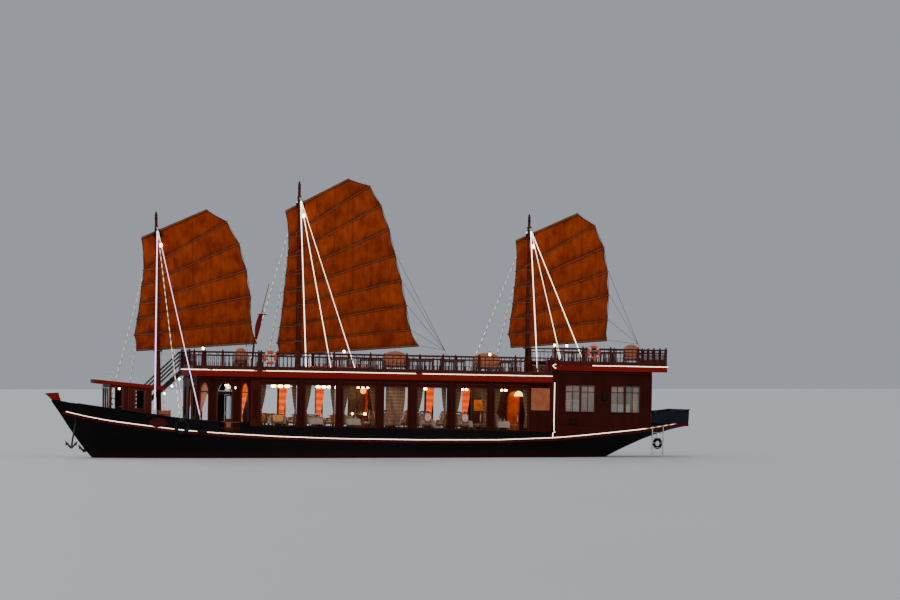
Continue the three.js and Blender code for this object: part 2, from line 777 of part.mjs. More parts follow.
// Each sail as points forward of the mast's axis and above its foot
const rigs = {
  fore: {
    base: [10547, 1228],
    lean: 0.0341,
    foot: 10.7,
    hounds: 10071,
    top: 10641,
    radii: [130, 70],
    yard: [[720, 9500], [-2600, 10860]],
    leech: [[-3580, 10270], [-4190, 9160], [-4530, 7830], [-4720, 6530], [-4720, 5260]],
    boom: [[1060, 3910], [-5000, 4190]],
    luff: [[630, 7910], [760, 7100], [860, 6230], [990, 5490], [1140, 4680]],
  },
  main: {
    base: [3612, 4190],
    lean: 0.0123,
    foot: 2,
    hounds: 8740,
    top: 9340,
    radii: [135, 70],
    yard: [[660, 8005], [-2540, 9655]],
    leech: [
      [-3590, 9330],
      [-4180, 8360],
      [-4600, 7170],
      [-4920, 5880],
      [-5230, 4620],
      [-5490, 3360],
      [-5710, 2120],
    ],
    boom: [[960, 830], [-6150, 1350]],
    luff: [[490, 6710], [530, 5740], [620, 4820], [710, 3990], [790, 3150], [900, 2220], [1030, 1440]],
  },
  aft: {
    base: [-7993, 4190],
    lean: 0.0018,
    foot: 0.6,
    hounds: 7466,
    top: 7966,
    radii: [115, 65],
    yard: [[620, 6780], [-2530, 8220]],
    leech: [[-3400, 7650], [-3890, 6550], [-4100, 5330], [-4170, 4150], [-4130, 2900]],
    boom: [[800, 1440], [-4130, 1880]],
    luff: [[590, 5260], [660, 4450], [720, 3640], [830, 2860], [930, 2080]],
  },
};

const crosstreeHalf = 450;
const collarHeight = 60;

const boomAtMast = ({ boom: [a, b] }) => a[1] - (a[0] * (b[1] - a[1])) / (b[0] - a[0]);

function buildMast(rig) {
  const [r0, r1] = rig.radii;
  const low = boomAtMast(rig) - spar.boom - collarHeight - 20;
  return join([
    rod([0, 0, rig.foot], [0, 0, rig.top], r0, 16, r1),
    rod([0, 0, low], [0, 0, low + collarHeight], 215, 16),
    block([-40, 40], [-crosstreeHalf, crosstreeHalf], [rig.hounds - 40, rig.hounds + 40]),
    rod([0, 0, rig.top - 10], [0, 0, rig.top + 90], r1 + 25, 12, 20),
  ]);
}

const lineTo = ([x, z], y) => [x, y, z];

// A rod in the sail's plane that runs past both its points
function lengthened([xa, za], [xb, zb], y, r, sides, past) {
  const share = past / Math.hypot(xb - xa, zb - za);
  const [dx, dz] = [(xb - xa) * share, (zb - za) * share];
  return rod([xa - dx, y, za - dz], [xb + dx, y, zb + dz], r, sides);
}

function buildSpars(rig) {
  const port = spar.clothY + spar.clothHalf + gap;
  const battenY = port + spar.batten;
  const pieces = [
    rod(lineTo(rig.yard[0], port + spar.yard), lineTo(rig.yard[1], port + spar.yard), spar.yard, 10),
    rod(lineTo(rig.boom[0], port + spar.boom), lineTo(rig.boom[1], port + spar.boom), spar.boom, 10),
  ];
  rig.luff.forEach((tip, i) => pieces.push(lengthened(tip, rig.leech[i], battenY, spar.batten, 6, 30)));
  const inwards = ([a, b], share = 0.02) => [a[0] + (b[0] - a[0]) * share, a[1] + (b[1] - a[1]) * share];
  const edges = [
    [inwards(rig.yard), ...rig.luff, inwards(rig.boom)],
    [inwards(rig.yard.toReversed()), ...rig.leech, inwards(rig.boom.toReversed())],
  ];
  for (const points of edges)
    for (let i = 0; i + 1 < points.length; i++)
      pieces.push(lengthened(points[i], points[i + 1], battenY, spar.edge, 4, 7));
  const held = [rig.yard, ...rig.luff.map((tip, i) => [tip, rig.leech[i]])];
  for (const [a, b] of held) {
    const slope = (b[1] - a[1]) / (b[0] - a[0]);
    pieces.push(shearedSolid(parrel(a[1] - slope * a[0], battenY), 2, slope, 0));
  }
  const low = boomAtMast(rig) - spar.boom - 20 + gap;
  pieces.push(parrel(low + parrelBar / 2, battenY));
  pieces.push(block([-190, 190], [port, port + 2 * spar.boom], [low, low + 60]));
  return join(pieces);
}

// A square loop round the mast that holds a batten to it
function parrel(z, y) {
  const half = parrelInner + parrelBar;
  const outline = [
    [parrelInner, y],
    [half, y],
    [half, half],
    [-half, half],
    [-half, y],
    [-parrelInner, y],
    [-parrelInner, parrelInner],
    [parrelInner, parrelInner],
  ];
  return planPrism(outline, [z - parrelBar / 2, z + parrelBar / 2]);
}

function buildCloth(rig) {
  const outline = [rig.yard[0], ...rig.luff, rig.boom[0], rig.boom[1], ...rig.leech.toReversed(), rig.yard[1]];
  return sidePrism(outline, [spar.clothY - spar.clothHalf, spar.clothY + spar.clothHalf]);
}

const upperFoot = upperDeck + gap + 0.5;
const stayRadius = 12;
const shoeHalf = 28; // of the shoe under each stay
// Where each stay comes down: x, distance off the centreline, z and the sides that have it.
// The sail hangs to starboard of its mast, so the forward stays are on that side alone
const landings = {
  fore: [
    [12810, 0, 0, "stbd"],
    [11940, 0, 0, "stbd"],
    [11130, 0, 0, "port"],
    [9910, 0, 0, "both"],
    [8900, 0, 0, "both"],
  ],
  main: [
    [5780, 2550, upperFoot, "stbd"],
    [4750, 3270, upperFoot, "stbd"],
    [3720, 3270, upperFoot, "port"],
    [2460, 3270, upperFoot, "both"],
    [1240, 3270, upperFoot, "both"],
  ],
  aft: [
    [-5610, 3270, upperFoot, "stbd"],
    [-6840, 3270, upperFoot, "stbd"],
    [-7930, 3270, upperFoot, "port"],
    [-9150, 3230, aftRoof + gap, "both"],
    [-10310, 3150, aftRoof + gap, "both"],
  ],
};
for (const landing of landings.fore) {
  landing[2] = skinAt(landing[0] + shoeHalf, 9) + 2;
  landing[1] = skinAt(landing[0], 8) - bulwark / 2;
}

function mastFrame(rig) {
  const frame = new THREE.Matrix4().makeRotationY(rig.lean);
  return frame.setPosition(rig.base[0], 0, rig.base[1]);
}

// The stays of one side, drawn to port
function buildStays(rig, rows, side) {
  const feet = rows.filter((row) => [side, "both"].includes(row[3])).map((row) => row.slice(0, 3));
  const inverse = mastFrame(rig).invert();
  const top = rig.hounds - 40 - gap;
  const pieces = [block([-45, 45], [360, 440], [top - 120, top])];
  for (const foot of feet) {
    const [x, y, z] = new THREE.Vector3(...foot).applyMatrix4(inverse).toArray();
    pieces.push(rod([0, 400, top - 60], [x, y, z + 60], stayRadius, 6));
    pieces.push(block([x - shoeHalf, x + shoeHalf], [y - shoeHalf, y + shoeHalf], [z, z + 130]));
  }
  return join(pieces);
}

// Small gear

// An anchor that hangs on a short chain from the rubbing rail, its crown a little forward
function buildAnchor(x) {
  const crown = x + 180;
  const railZ = skinAt(x, 7);
  const face = Math.max(skinAt(x - 18, 6), skinAt(x + 18, 6)) + railProud + gap + 0.3;
  const y = face + 60;
  const [top, low] = [railZ - 420, railZ - 1620];
  const pieces = [
    block([x - 18, x + 18], [face, y], [railZ - 30, railZ + 30]),
    rod([x, y, railZ + 40], [x, y, top - 20], 16, 6),
    rod([x, y, top + 20], [crown, y, low], 46),
  ];
  for (const side of [-1, 1]) {
    const tip = [crown + side * 290, y, low + 290];
    pieces.push(rod([crown, y, low], tip, 60, 8, 34));
    pieces.push(rod([tip[0] - side * 100, y, tip[2] - 130], [tip[0] + side * 10, y, tip[2] + 60], 105, 4, 14));
  }
  return join(pieces);
}

// A lifebuoy that hangs outside a rail, turned to lie along it
function buildLifebuoy(x, railOuterY, z, turn) {
  const tube = 75;
  const ring = new THREE.TorusGeometry(270, tube, 8, 20).rotateX(Math.PI / 2).rotateZ(turn);
  return solid(ring.translate(x, railOuterY + (tube + gap) / Math.cos(turn), z));
}

function buildFlagStaff() {
  return join([
    rod([6440, 3170, upperFoot + 4.5], [6330, 3170, 5650], 60, 10, 45),
    rod([6335, 3170, 5600], [5640, 3170, 8500], 26, 8, 16),
  ]);
}

// Assembly

const ship = new THREE.Group();
ship.rotation.y = -trim;
const part = new THREE.Group();
part.add(ship);

function place(name, made, finish, parent = ship) {
  const mesh = new THREE.Mesh(geometryOf(made), new THREE.MeshStandardMaterial(colours[finish]));
  mesh.name = name;
  parent.add(mesh);
}

function placePair(name, made, finish, parent = ship) {
  place(name + "_port", made, finish, parent);
  place(name + "_stbd", mirrored(made), finish, parent);
}

place("hull", buildHull(), "hullBlack");
place("fore_bulwark", buildForeBulwark(), "hullBlack");
place("coaming_port", buildCoaming(1), "hullBlack");
place("coaming_stbd", buildCoaming(-1), "hullBlack");
place("stern_bulwark", buildSternBulwark(), "hullBlack");
place("stem_head", buildStemHead(), "red");
place("rub_rail_port", buildRubRail(1), "rail");
place("rub_rail_stbd", buildRubRail(-1), "rail");
place("rudder", buildRudder(), "iron");
place("propeller", buildPropeller(), "bronze");

placePair("saloon_wall", buildSaloonWall(), "cabin");
placePair("vestibule_wall", buildVestibuleSide(), "cabin");
place("vestibule_front", buildVestibuleFront(), "cabin");
place("bulkhead_fore", buildForeBulkhead(), "cabin");
place("bulkhead_middle", buildMiddleBulkhead(), "cabin");
placePair("aft_cabin_wall", buildAftSide(), "cabin");
place("aft_cabin_back", buildAftBack(), "cabin");
placePair("vestibule_door", buildVestibuleDoor(), "teak");
const aftLeaf = doorLeaf(aftDoor.y1 - aftDoor.y0 - 6, 45, aftDoor.bottom + 6, aftDoor.top - 8);
place("aft_cabin_door", turned(aftLeaf, -Math.PI / 2, aftCabinBack, aftDoor.y1), "teak");
place("saloon_floor", buildSaloonFloor(), "teak");
place("upper_deck", buildUpperDeck(), "red");
place("aft_roof", buildAftRoof(), "red");

placePair(
  "upper_rail",
  railing([[5990, 3380], [-8600, 3380]], upperDeck, upperRailHeight),
  "cabin",
);
const foreRail = [[6110, 3380], [7870, 3110], [8800, 2735], [9180, 2320], [9255, 1200]];
place(
  "fore_rail_port",
  railing([...foreRail, [9255, -1200], [9240, -1440]], upperDeck, upperRailHeight),
  "cabin",
);
place(
  "fore_rail_stbd",
  railing([[6110, -3380], [7870, -3110], [8800, -2735], [9180, -2320], [9205, -2080]], upperDeck, upperRailHeight),
  "cabin",
);
const aftRail = [[-8780, 3370], [-14490, 2935], [-14490, -2935], [-8780, -3370]];
place("aft_rail", railing(aftRail, aftRoof, aftRailHeight, 1430), "cabin");
place("stairs", buildStairs(), "iron");
place("stern_ladder", buildLadder(), "galvanised");

placePair("wheelhouse_side", buildWheelhouseSide(), "cabin");
place("wheelhouse_front", buildWheelhouseFront(), "cabin");
place("wheelhouse_back", buildWheelhouseBack(), "cabin");
const steeringLeaf = doorLeaf(
  wheelhouseDoor.y1 - wheelhouseDoor.y0 - 6,
  40,
  foreDeckAt(wheelhouse.back) + 20,
  wheelhouseDoor.top - 8,
);
place("wheelhouse_door", turned(steeringLeaf, -Math.PI / 2, wheelhouse.back, wheelhouseDoor.y1), "teak");
place("wheelhouse_roof", buildWheelhouseRoof(), "red");

for (const [name, rig] of Object.entries(rigs)) {
  const group = new THREE.Group();
  group.position.set(rig.base[0], 0, rig.base[1]);
  group.rotation.y = rig.lean;
  ship.add(group);
  place(name + "_mast", buildMast(rig), "mast", group);
  place(name + "_spars", buildSpars(rig), "bamboo", group);
  place(name + "_sail", buildCloth(rig), "sail", group);
  place(name + "_stays_port", buildStays(rig, landings[name], "port"), "wire", group);
  place(name + "_stays_stbd", mirrored(buildStays(rig, landings[name], "stbd")), "wire", group);
}

place("anchor_port", buildAnchor(14850), "iron");
place("anchor_stbd", mirrored(buildAnchor(13900)), "iron");
place("lifebuoy_fore", buildLifebuoy(5560, 3420, 4860, 0), "buoy");
const aftRailTurn = Math.atan2(3370 - 2935, 14490 - 8780);
const aftRailOuter = 3370 - Math.tan(aftRailTurn) * (10740 - 8780) + 40 / Math.cos(aftRailTurn);
place("lifebuoy_aft", buildLifebuoy(-10740, aftRailOuter, 5430, aftRailTurn), "buoy");
place("flag_staff", buildFlagStaff(), "mast");
place("sign_board", block([-7620, -8560], [saloonHalf + gap, saloonHalf + 40], [2500, 3600]), "sign");

export default part;
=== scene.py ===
import itertools
import json
import math
import bmesh
import bpy
import numpy as np
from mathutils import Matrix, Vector


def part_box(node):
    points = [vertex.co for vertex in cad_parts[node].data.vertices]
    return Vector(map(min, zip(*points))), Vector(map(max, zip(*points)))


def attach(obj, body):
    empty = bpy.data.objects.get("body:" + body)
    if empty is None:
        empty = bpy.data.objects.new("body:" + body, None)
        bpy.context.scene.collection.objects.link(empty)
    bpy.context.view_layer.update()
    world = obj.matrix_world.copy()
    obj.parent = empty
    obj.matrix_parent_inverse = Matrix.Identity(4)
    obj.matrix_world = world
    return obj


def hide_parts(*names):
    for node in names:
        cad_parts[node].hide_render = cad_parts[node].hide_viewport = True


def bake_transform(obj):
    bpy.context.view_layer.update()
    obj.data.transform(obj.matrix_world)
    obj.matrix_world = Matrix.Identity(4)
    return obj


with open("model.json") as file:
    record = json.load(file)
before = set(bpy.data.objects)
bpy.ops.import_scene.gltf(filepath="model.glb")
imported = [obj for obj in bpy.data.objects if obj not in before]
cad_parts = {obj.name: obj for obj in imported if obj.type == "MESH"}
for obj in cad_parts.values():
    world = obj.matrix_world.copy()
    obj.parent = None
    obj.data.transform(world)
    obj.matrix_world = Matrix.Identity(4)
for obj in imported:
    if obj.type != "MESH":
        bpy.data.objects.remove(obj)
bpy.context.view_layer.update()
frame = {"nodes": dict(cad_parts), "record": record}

# A three-masted junk lit for the evening. Metres, +X to the bow, +Y to port, +Z up, the water at z = 0.
# Most pieces are made in the ship's own frame, decks level, and tipped by her trim as they are stored.
trim = 0.0192  # radians down by the stern
bodies = frame["record"]["behaviour"]["bodies"]
bodyOf = {node: body for body, nodes in bodies.items() for node in nodes}
bothSides = ((1, "port"), (-1, "stbd"))
signs = (1, -1)  # of y to port and to starboard

# Camera, light and floor
print("stage: camera, light and floor")

view = {
    "target": (-4.04, 0.71, 7.85),
    "distance": 350.0,
    "azimuth": 170.0,  # degrees, the way the picture looks at her
    "eyeHeight": 4.7,
    "lens": 280.0,  # mm on a 36 mm wide sensor
}


def makeCamera():
    turn = math.radians(view["azimuth"])
    tx, ty = view["target"][:2]
    eye = Vector((tx + math.sin(turn) * view["distance"], ty - math.cos(turn) * view["distance"],
                  view["eyeHeight"]))
    data = bpy.data.cameras.new("camera")
    data.lens, data.sensor_width = view["lens"], 36.0
    data.clip_start, data.clip_end = 1.0, 2000.0
    camera = bpy.data.objects.new("camera", data)
    camera.location = eye
    camera.rotation_euler = (Vector(view["target"]) - eye).to_track_quat("-Z", "Y").to_euler()
    bpy.context.collection.objects.link(camera)
    bpy.context.scene.camera = camera


def makeSky(colour, strength):
    world = bpy.data.worlds.new("studio")
    world.use_nodes = True
    background = world.node_tree.nodes["Background"]
    background.inputs["Color"].default_value = (*colour, 1)
    background.inputs["Strength"].default_value = strength
    bpy.context.scene.world = world


softAngle = 0.6  # radians, the width of each broad lamp


def makeSoftLight(name, aim, strength, colour):
    # a broad lamp far off: aim is the way its light goes
    data = bpy.data.lights.new(name, "SUN")
    data.energy, data.angle, data.color = strength, softAngle, colour
    lamp = bpy.data.objects.new(name, data)
    lamp.rotation_euler = Vector(aim).to_track_quat("-Z", "Y").to_euler()
    bpy.context.collection.objects.link(lamp)


def makePointLight(name, place, power, colour, radius):
    data = bpy.data.lights.new(name, "POINT")
    data.energy, data.color, data.shadow_soft_size = power, colour, radius
    lamp = bpy.data.objects.new(name, data)
    lamp.location = place
    bpy.context.collection.objects.link(lamp)


makeCamera()
makeSky((0.80, 0.86, 0.95), 0.42)
makeSoftLight("keyLight", (-20, -60, -37), 1.05, (1.0, 0.95, 0.88))
makeSoftLight("fillLight", (44, -35, -16), 0.40, (0.85, 0.92, 1.0))
makeSoftLight("backLight", (-12, 60, -25), 0.50, (0.95, 0.95, 1.0))

# Frames of reference
def toWorld(points):
    # turned about Y by the trim: x' = x cos t - z sin t, z' = x sin t + z cos t
    p = np.array(points, float)
    x, z = p[..., 0].copy(), p[..., 2].copy()
    p[..., 0] = x * math.cos(trim) - z * math.sin(trim)
    p[..., 2] = x * math.sin(trim) + z * math.cos(trim)
    return p


def mastToWorld(rig):
    # the mast's own frame leans by its rake about Y and stands at its foot
    def place(points):
        p = np.array(points, float)
        x, z = p[..., 0].copy(), p[..., 2].copy()
        p[..., 0] = rig["foot"][0] + x * math.cos(rig["lean"]) + z * math.sin(rig["lean"])
        p[..., 2] = rig["foot"][1] - x * math.sin(rig["lean"]) + z * math.cos(rig["lean"])
        return toWorld(p)

    return place


# Shapes: each is (vertices, faces), a face of three points ending in -1
def gridShape(points, closeU=False, closeV=False, cap=False):
    # points[u, v] joined to its neighbours; cap closes each end of a tube with a fan about its middle
    rows, cols = points.shape[:2]
    index = np.arange(rows * cols).reshape(rows, cols)
    index = np.vstack([index, index[:1]]) if closeU else index
    index = np.hstack([index, index[:, :1]]) if closeV else index
    faces = np.stack([index[:-1, :-1], index[1:, :-1], index[1:, 1:], index[:-1, 1:]], -1).reshape(-1, 4)
    verts = points.reshape(-1, 3)
    if cap:
        first = rows * cols
        verts = np.vstack([verts, points[0].mean(0), points[-1].mean(0)])
        a, b, c, d = index[0, :-1], index[0, 1:], index[-1, :-1], index[-1, 1:]
        none = np.full_like(a, -1)
        start = np.stack([np.full_like(a, first), a, b, none], 1)
        end = np.stack([np.full_like(a, first + 1), d, c, none], 1)
        faces = np.vstack([faces, start, end])
    return verts, faces


def turnedRound(faces):
    three = faces[:, 3] < 0
    return np.where(three[:, None], faces[:, [2, 1, 0, 3]], faces[:, ::-1])


def outward(shape):
    # a closed skin whose enclosed volume comes out negative is turned round
    verts, faces = shape
    a, b, c = (verts[faces[:, k]] for k in range(3))
    d = verts[np.where(faces[:, 3] < 0, faces[:, 2], faces[:, 3])]
    volume = np.einsum("ij,ij->", a, np.cross(b, c)) + np.einsum("ij,ij->", a, np.cross(c, d))
    return (verts, faces) if volume >= 0 else (verts, turnedRound(faces))


def joined(shapes):
    offsets = np.cumsum([0] + [len(v) for v, _ in shapes[:-1]])
    faces = [np.where(f < 0, -1, f + o) for (_, f), o in zip(shapes, offsets)]
    return np.vstack([v for v, _ in shapes]), np.vstack(faces)


def moved(shape, by):
    return shape[0] + np.asarray(by, float), shape[1]


def mirrored(shape):
    return shape[0] * (1, -1, 1), turnedRound(shape[1])


def copies(shape, places, turns=0.0, sizes=1.0):
    # the same shape at each place, turned about Z and scaled
    verts, faces = shape
    places = np.asarray(places, float).reshape(-1, 3)
    count = len(places)
    turns = np.broadcast_to(turns, count)[:, None]
    sizes = np.broadcast_to(np.asarray(sizes, float).reshape(-1, 1) if np.ndim(sizes) == 1 else sizes,
                            (count, 3))
    grown = verts[None] * sizes[:, None]
    x, y = grown[..., 0], grown[..., 1]
    turned = np.stack([x * np.cos(turns) - y * np.sin(turns), x * np.sin(turns) + y * np.cos(turns),
                       grown[..., 2]], -1)
    every = (turned + places[:, None]).reshape(-1, 3)
    offsets = (np.arange(count) * len(verts))[:, None, None]
    return every, np.where(faces[None] < 0, -1, faces[None] + offsets).reshape(-1, 4)


square = np.array([(-0.5, -0.5), (0.5, -0.5), (0.5, 0.5), (-0.5, 0.5)])
unitEnds = np.stack([np.column_stack([np.full(4, x), square]) for x in (-0.5, 0.5)])
unitSides = gridShape(unitEnds, closeV=True)
unitCube = (unitSides[0], np.vstack([unitSides[1], [[3, 2, 1, 0], [4, 5, 6, 7]]]))


def boxes(rows):
    # rows of (x, y, z, length, breadth, height), each box about its middle
    rows = np.asarray(rows, float).reshape(-1, 6)
    return copies(unitCube, rows[:, :3], 0.0, rows[:, 3:])


def spanBox(x, y, z):
    return boxes([(sum(x) / 2, sum(y) / 2, sum(z) / 2, abs(x[1] - x[0]), abs(y[1] - y[0]), abs(z[1] - z[0]))])


def ring(radius, sides=8):
    angle = np.linspace(0, 2 * np.pi, sides, endpoint=False) + np.pi / sides
    return np.stack([radius * np.cos(angle), radius * np.sin(angle)], -1)


def sweep(profile, path, closed=False, up=(0, 0, 1), sizes=None):
    # a profile of (side, up) points carried along a path, upright to it
    path = np.asarray(path, float)
    ahead = np.roll(path, -1, 0) - np.roll(path, 1, 0) if closed else np.gradient(path, axis=0)
    ahead /= np.linalg.norm(ahead, axis=1)[:, None]
    side = np.cross(ahead, up)
    side /= np.linalg.norm(side, axis=1)[:, None]
    top = np.cross(side, ahead)
    profile = np.asarray(profile, float)
    sizes = np.ones(len(path)) if sizes is None else np.asarray(sizes, float)
    arm = profile[None, :, :1] * side[:, None] + profile[None, :, 1:] * top[:, None]
    return outward(gridShape(path[:, None] + arm * sizes[:, None, None], closeU=closed, closeV=True,
                             cap=not closed))


def tube(a, b, radius, sides=8, endRadius=None):
    a, b = np.asarray(a, float), np.asarray(b, float)
    up = (1, 0, 0) if abs((b - a)[2]) > 0.9 * np.linalg.norm(b - a) else (0, 0, 1)
    sizes = (1.0, (radius if endRadius is None else endRadius) / radius)
    return sweep(ring(radius, sides), [a, b], up=up, sizes=sizes)


def lathe(profile, sides=16):
    # (radius, height) points turned about the upright axis
    r, z = np.asarray(profile, float).T
    angle = np.linspace(0, 2 * np.pi, sides, endpoint=False)
    upright = np.repeat(z[:, None], sides, 1)
    around = np.stack([np.outer(r, np.cos(angle)), np.outer(r, np.sin(angle)), upright], -1)
    return outward(gridShape(around, closeV=True, cap=True))


def torus(radius, thick, around=32, sides=10):
    # a ring standing in the XZ plane
    angle = np.linspace(0, 2 * np.pi, around, endpoint=False)
    path = np.stack([radius * np.cos(angle), np.zeros(around), radius * np.sin(angle)], -1)
    return sweep(ring(thick, sides), path, closed=True, up=(0, 1, 0))


def lying(shape, at):
    # a shape that stands in the XZ plane, laid flat at a place
    return shape[0][:, [0, 2, 1]] + at, turnedRound(shape[1])


def plate(outline, thickness):
    # an XZ outline seen whole from its middle, with a thickness along Y
    outline = np.asarray(outline, float)
    flat = np.zeros((2, len(outline), 3))
    flat[..., 0], flat[..., 2] = outline[:, 0], outline[:, 1]
    flat[0, :, 1], flat[1, :, 1] = -thickness / 2, thickness / 2
    return outward(gridShape(flat, closeV=True, cap=True))


def cushion(length, breadth, height, edge=0.28, rows=14, cols=24):
    # a superellipsoid: each coordinate is a rounded power of sine and cosine, nearly square with soft edges
    u = np.linspace(-np.pi / 2, np.pi / 2, rows)[1:-1, None]
    v = np.linspace(-np.pi, np.pi, cols, endpoint=False)[None]
    power = lambda w: np.sign(w) * np.abs(w) ** edge
    crown = power(np.cos(u)) * np.ones_like(v)
    points = np.stack([power(np.cos(v)) * crown * length / 2, power(np.sin(v)) * crown * breadth / 2,
                       power(np.sin(u)) * np.ones_like(v) * height / 2], -1)
    return outward(gridShape(points, closeV=True, cap=True))


def cubicPath(points, steps=6):
    # a smooth curve through the points, each span a cubic with the slopes of its neighbours
    p = np.asarray(points, float)
    slope = np.gradient(p, axis=0)
    t = np.linspace(0, 1, steps, endpoint=False)[None, :, None]
    a, b, sa, sb = (q[:, None] for q in (p[:-1], p[1:], slope[:-1], slope[1:]))
    spans = ((2 * t**3 - 3 * t**2 + 1) * a + (t**3 - 2 * t**2 + t) * sa
             + (3 * t**2 - 2 * t**3) * b + (t**3 - t**2) * sb)
    return np.vstack([spans.reshape(-1, p.shape[1]), p[-1:]])


def addPiece(name, shape, material, slot, body="ship", place=toWorld, smooth=38, uv=None, shade=None):
    verts, faces = shape
    verts = place(verts)
    mesh = bpy.data.meshes.new(name)
    mesh.vertices.add(len(verts))
    mesh.vertices.foreach_set("co", verts.astype(np.float32).ravel())
    used = faces >= 0
    totals = used.sum(1)
    corners = faces[used]
    mesh.loops.add(len(corners))
    mesh.loops.foreach_set("vertex_index", corners.astype(np.int32))
    mesh.polygons.add(len(faces))
    mesh.polygons.foreach_set("loop_start", np.concatenate([[0], np.cumsum(totals)[:-1]]).astype(np.int32))
    mesh.update(calc_edges=True)
    mesh.validate()
    if uv is not None:
        layer = mesh.uv_layers.new(name="metres")
        loops = np.zeros(len(mesh.loops), np.int32)
        mesh.loops.foreach_get("vertex_index", loops)
        layer.data.foreach_set("uv", uv[loops].astype(np.float32).ravel())
    if shade is not None:
        mesh.attributes.new("shade", "FLOAT", "POINT").data.foreach_set("value", shade.astype(np.float32))
    mesh.shade_smooth()
    mesh.set_sharp_from_angle(angle=math.radians(smooth))
    mesh.materials.append(material)
    piece = bpy.data.objects.new(name, mesh)
    bpy.context.collection.objects.link(piece)
    if body:
        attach(piece, body)
    return piece


def addModifier(piece, kind, **settings):
    modifier = piece.modifiers.new(kind.lower(), kind)
    for key, value in settings.items():
        setattr(modifier, key, value)


def thickened(piece, thickness, offset=0.0):
    # a sheet given its thickness, on both faces alike at offset 0 and outward only at offset 1
    addModifier(piece, "SOLIDIFY", thickness=thickness, offset=offset)


def bevelled(piece, width):
    # the sharp edges of joinery eased by a width in metres
    addModifier(piece, "BEVEL", width=width, segments=2, limit_method="ANGLE")


def addPad(name, shape, material, slot="upholstery"):
    # a stuffed piece
    addPiece(name, shape, material, slot, smooth=70)


def refined(node, material, slot, sharp=32):
    # the CAD solid's own form, its triangles merged and its round faces shaded smooth
    source = frame["nodes"][node]
    mesh = source.data.copy()
    work = bmesh.new()
    work.from_mesh(mesh)
    bmesh.ops.remove_doubles(work, verts=work.verts, dist=0.00005)
    bmesh.ops.dissolve_limit(work, angle_limit=math.radians(0.5), verts=work.verts, edges=work.edges)
    work.to_mesh(mesh)
    work.free()
    mesh.shade_smooth()
    mesh.set_sharp_from_angle(angle=math.radians(sharp))
    mesh.materials.clear()
    mesh.materials.append(material)
    piece = bpy.data.objects.new(node + "_finished", mesh)
    bpy.context.collection.objects.link(piece)
    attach(piece, bodyOf[node])
    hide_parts(node)


def dress(nodes, material):
    # a CAD solid that shows as it is, in its own finish
    for node in nodes:
        data = frame["nodes"][node].data
        data.materials.clear()
        data.materials.append(material)


# Shader building
print("stage: finishes")


def addNode(tree, kind, inputs=None, **settings):
    node = tree.nodes.new(kind)
    for key, value in settings.items():
        setattr(node, key, value)
    for key, value in (inputs or {}).items():
        if isinstance(value, bpy.types.NodeSocket):
            tree.links.new(value, node.inputs[key])
        else:
            node.inputs[key].default_value = value
    return node


def calc(tree, operation, a, b=0.0, clamp=False):
    return addNode(tree, "ShaderNodeMath", {0: a, 1: b}, operation=operation, use_clamp=clamp).outputs[0]


def blendColour(tree, factor, a, b):
    return addNode(tree, "ShaderNodeMix", {0: factor, 6: a, 7: b}, data_type="RGBA").outputs[2]


def rampOf(tree, value, low, high, a=0.0, b=1.0):
    return addNode(tree, "ShaderNodeMapRange", {0: value, 1: low, 2: high, 3: a, 4: b}).outputs[0]


def noiseOf(tree, vector, scale, detail=3.0, stretch=(1, 1, 1)):
    scaled = addNode(tree, "ShaderNodeMapping", {"Vector": vector, "Scale": stretch}).outputs[0]
    return addNode(tree, "ShaderNodeTexNoise", {"Vector": scaled, "Scale": scale, "Detail": detail}).outputs[0]


def newGroup(name, inputs, outputs):
    group = bpy.data.node_groups.new(name, "ShaderNodeTree")
    kinds = {"vector": "NodeSocketVector", "value": "NodeSocketFloat"}
    for label, kind, default in inputs:
        socket = group.interface.new_socket(label, in_out="INPUT", socket_type=kinds[kind])
        if default is not None:
            socket.default_value = default
    for label, kind in outputs:
        group.interface.new_socket(label, in_out="OUTPUT", socket_type=kinds[kind])
    return group, group.nodes.new("NodeGroupInput"), group.nodes.new("NodeGroupOutput")


def makePlanksGroup():
    # boards along X of the vector, side by side along Y, with a dark seam between them and a tone of their own
    group, source, result = newGroup(
        "planks",
        [("Vector", "vector", None), ("Width", "value", 0.14), ("Length", "value", 4.0),
         ("Seam", "value", 0.008)],
        [("Seam", "value"), ("Tone", "value")])
    parts = addNode(group, "ShaderNodeSeparateXYZ", {0: source.outputs[0]}).outputs
    across = calc(group, "DIVIDE", parts[1], source.outputs[1])
    row = calc(group, "FLOOR", across)
    along = calc(group, "ADD", calc(group, "DIVIDE", parts[0], source.outputs[2]),
                 calc(group, "MULTIPLY", row, 0.381))
    sideways = calc(group, "MULTIPLY", calc(group, "FRACT", across), source.outputs[1])
    lengthways = calc(group, "MULTIPLY", calc(group, "FRACT", along), source.outputs[2])
    seam = calc(group, "LESS_THAN", calc(group, "MINIMUM", sideways, lengthways), source.outputs[3])
    cell = addNode(group, "ShaderNodeCombineXYZ", {0: calc(group, "FLOOR", along), 1: row}).outputs[0]
    tone = addNode(group, "ShaderNodeTexWhiteNoise", {"Vector": cell}, noise_dimensions="2D").outputs[0]
    group.links.new(seam, result.inputs[0])
    group.links.new(tone, result.inputs[1])
    return group


